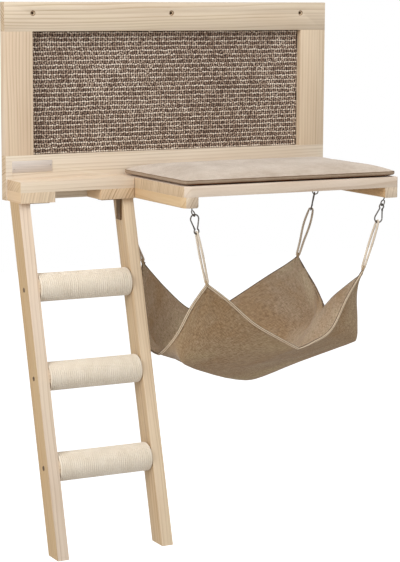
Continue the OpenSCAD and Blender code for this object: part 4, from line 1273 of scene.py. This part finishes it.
# %% Yarn round the corners
whip_below, whip_step, whip_steps, whip_d = 0.004, 0.0024, 5, 0.0068
stitches = []
for i, key in enumerate(corner_names):
    tip = Vector(corners[i]) / 1000
    foot = at_hook(i, (0, 0, hook_low)) / 1000
    up = (foot - tip).normalized()
    coil = [tip + up * (whip_step * k - whip_below) for k in range(whip_steps)]
    stitches.append(sweep("corner_stitch_" + key, smooth_path(coil, 3), laid_rope(whip_d, 0.0060),
                          hint=(0.9, 0.3, 0.1)))
whipping = joined("corner_stitches", stitches)
put(whipping, cotton_material("tab_yarn", (190, 164, 130), (140, 114, 84)))
dress(whipping, "hammock", "cotton_rope")

# %% [markdown]
# ## Floor and light
#
# The bed hangs free against white. The floor lies well below it, and both show white to the camera.

# %% Floor
bpy.ops.object.select_all(action="DESELECT")
bpy.ops.mesh.primitive_plane_add(size=14, location=(0, 0, -1.6))
floor = bpy.context.object
floor.name = "floor"
settle(floor)
n = Nodes("floor_pale")
speck = n.noise(n.coords(), 3.0, 2.0)
n.colour(n.ramp(speck, [(0.3, grey(0.76)), (0.7, grey(0.80))]))
n.shader.inputs["Roughness"].default_value = 0.8
ray = n.add("ShaderNodeLightPath")
glow = n.add("ShaderNodeEmission", Strength=0.75)
both = n.add("ShaderNodeAddShader")
n.link(n.shader, "BSDF", both, 0)
n.link(glow, "Emission", both, 1)
pick = n.add("ShaderNodeMixShader")
n.link(ray, "Is Camera Ray", pick, 0)
n.link(n.shader, "BSDF", pick, 1)
n.link(both, "Shader", pick, 2)
n.link(pick, "Shader", n.out, "Surface")
put(floor, n.material)

# %% World and lamps
ambient = 0.42
world = bpy.data.worlds.new("studio")
scene.world = world
world.use_nodes = True
tree = world.node_tree
tree.nodes.clear()
out = tree.nodes.new("ShaderNodeOutputWorld")
mixer = tree.nodes.new("ShaderNodeMixShader")
for strength, socket in ((ambient, 1), (1.0, 2)):
    sky = tree.nodes.new("ShaderNodeBackground")
    sky.inputs["Color"].default_value = grey(1)
    sky.inputs["Strength"].default_value = strength
    tree.links.new(sky.outputs[0], mixer.inputs[socket])
path_node = tree.nodes.new("ShaderNodeLightPath")
seen = path_node.outputs["Is Camera Ray"]
for kind in ("Is Glossy Ray", "Is Transmission Ray"):
    either = tree.nodes.new("ShaderNodeMath")
    either.operation = "MAXIMUM"
    tree.links.new(seen, either.inputs[0])
    tree.links.new(path_node.outputs[kind], either.inputs[1])
    seen = either.outputs[0]
tree.links.new(seen, mixer.inputs[0])
tree.links.new(mixer.outputs[0], out.inputs["Surface"])


def softbox(name, place, aim, size, power):
    data = bpy.data.lights.new(name, "AREA")
    data.shape = "SQUARE"
    data.size = size
    data.energy = power
    lamp = bpy.data.objects.new(name, data)
    scene.collection.objects.link(lamp)
    lamp.location = place
    lamp.rotation_euler = (Vector(aim) - Vector(place)).to_track_quat("-Z", "Y").to_euler()
    return lamp


softbox("top_softbox", (0.3, -1.1, 1.7), (0.0, -0.15, -0.5), 1.6, 25)
softbox("front_softbox", (0.7, -3.2, 1.0), (0.0, -0.1, -0.5), 1.8, 10)
softbox("left_softbox", (-3.0, -1.3, 0.9), (0.0, -0.1, -0.5), 2.2, 70)

scene.view_settings.view_transform = "Standard"
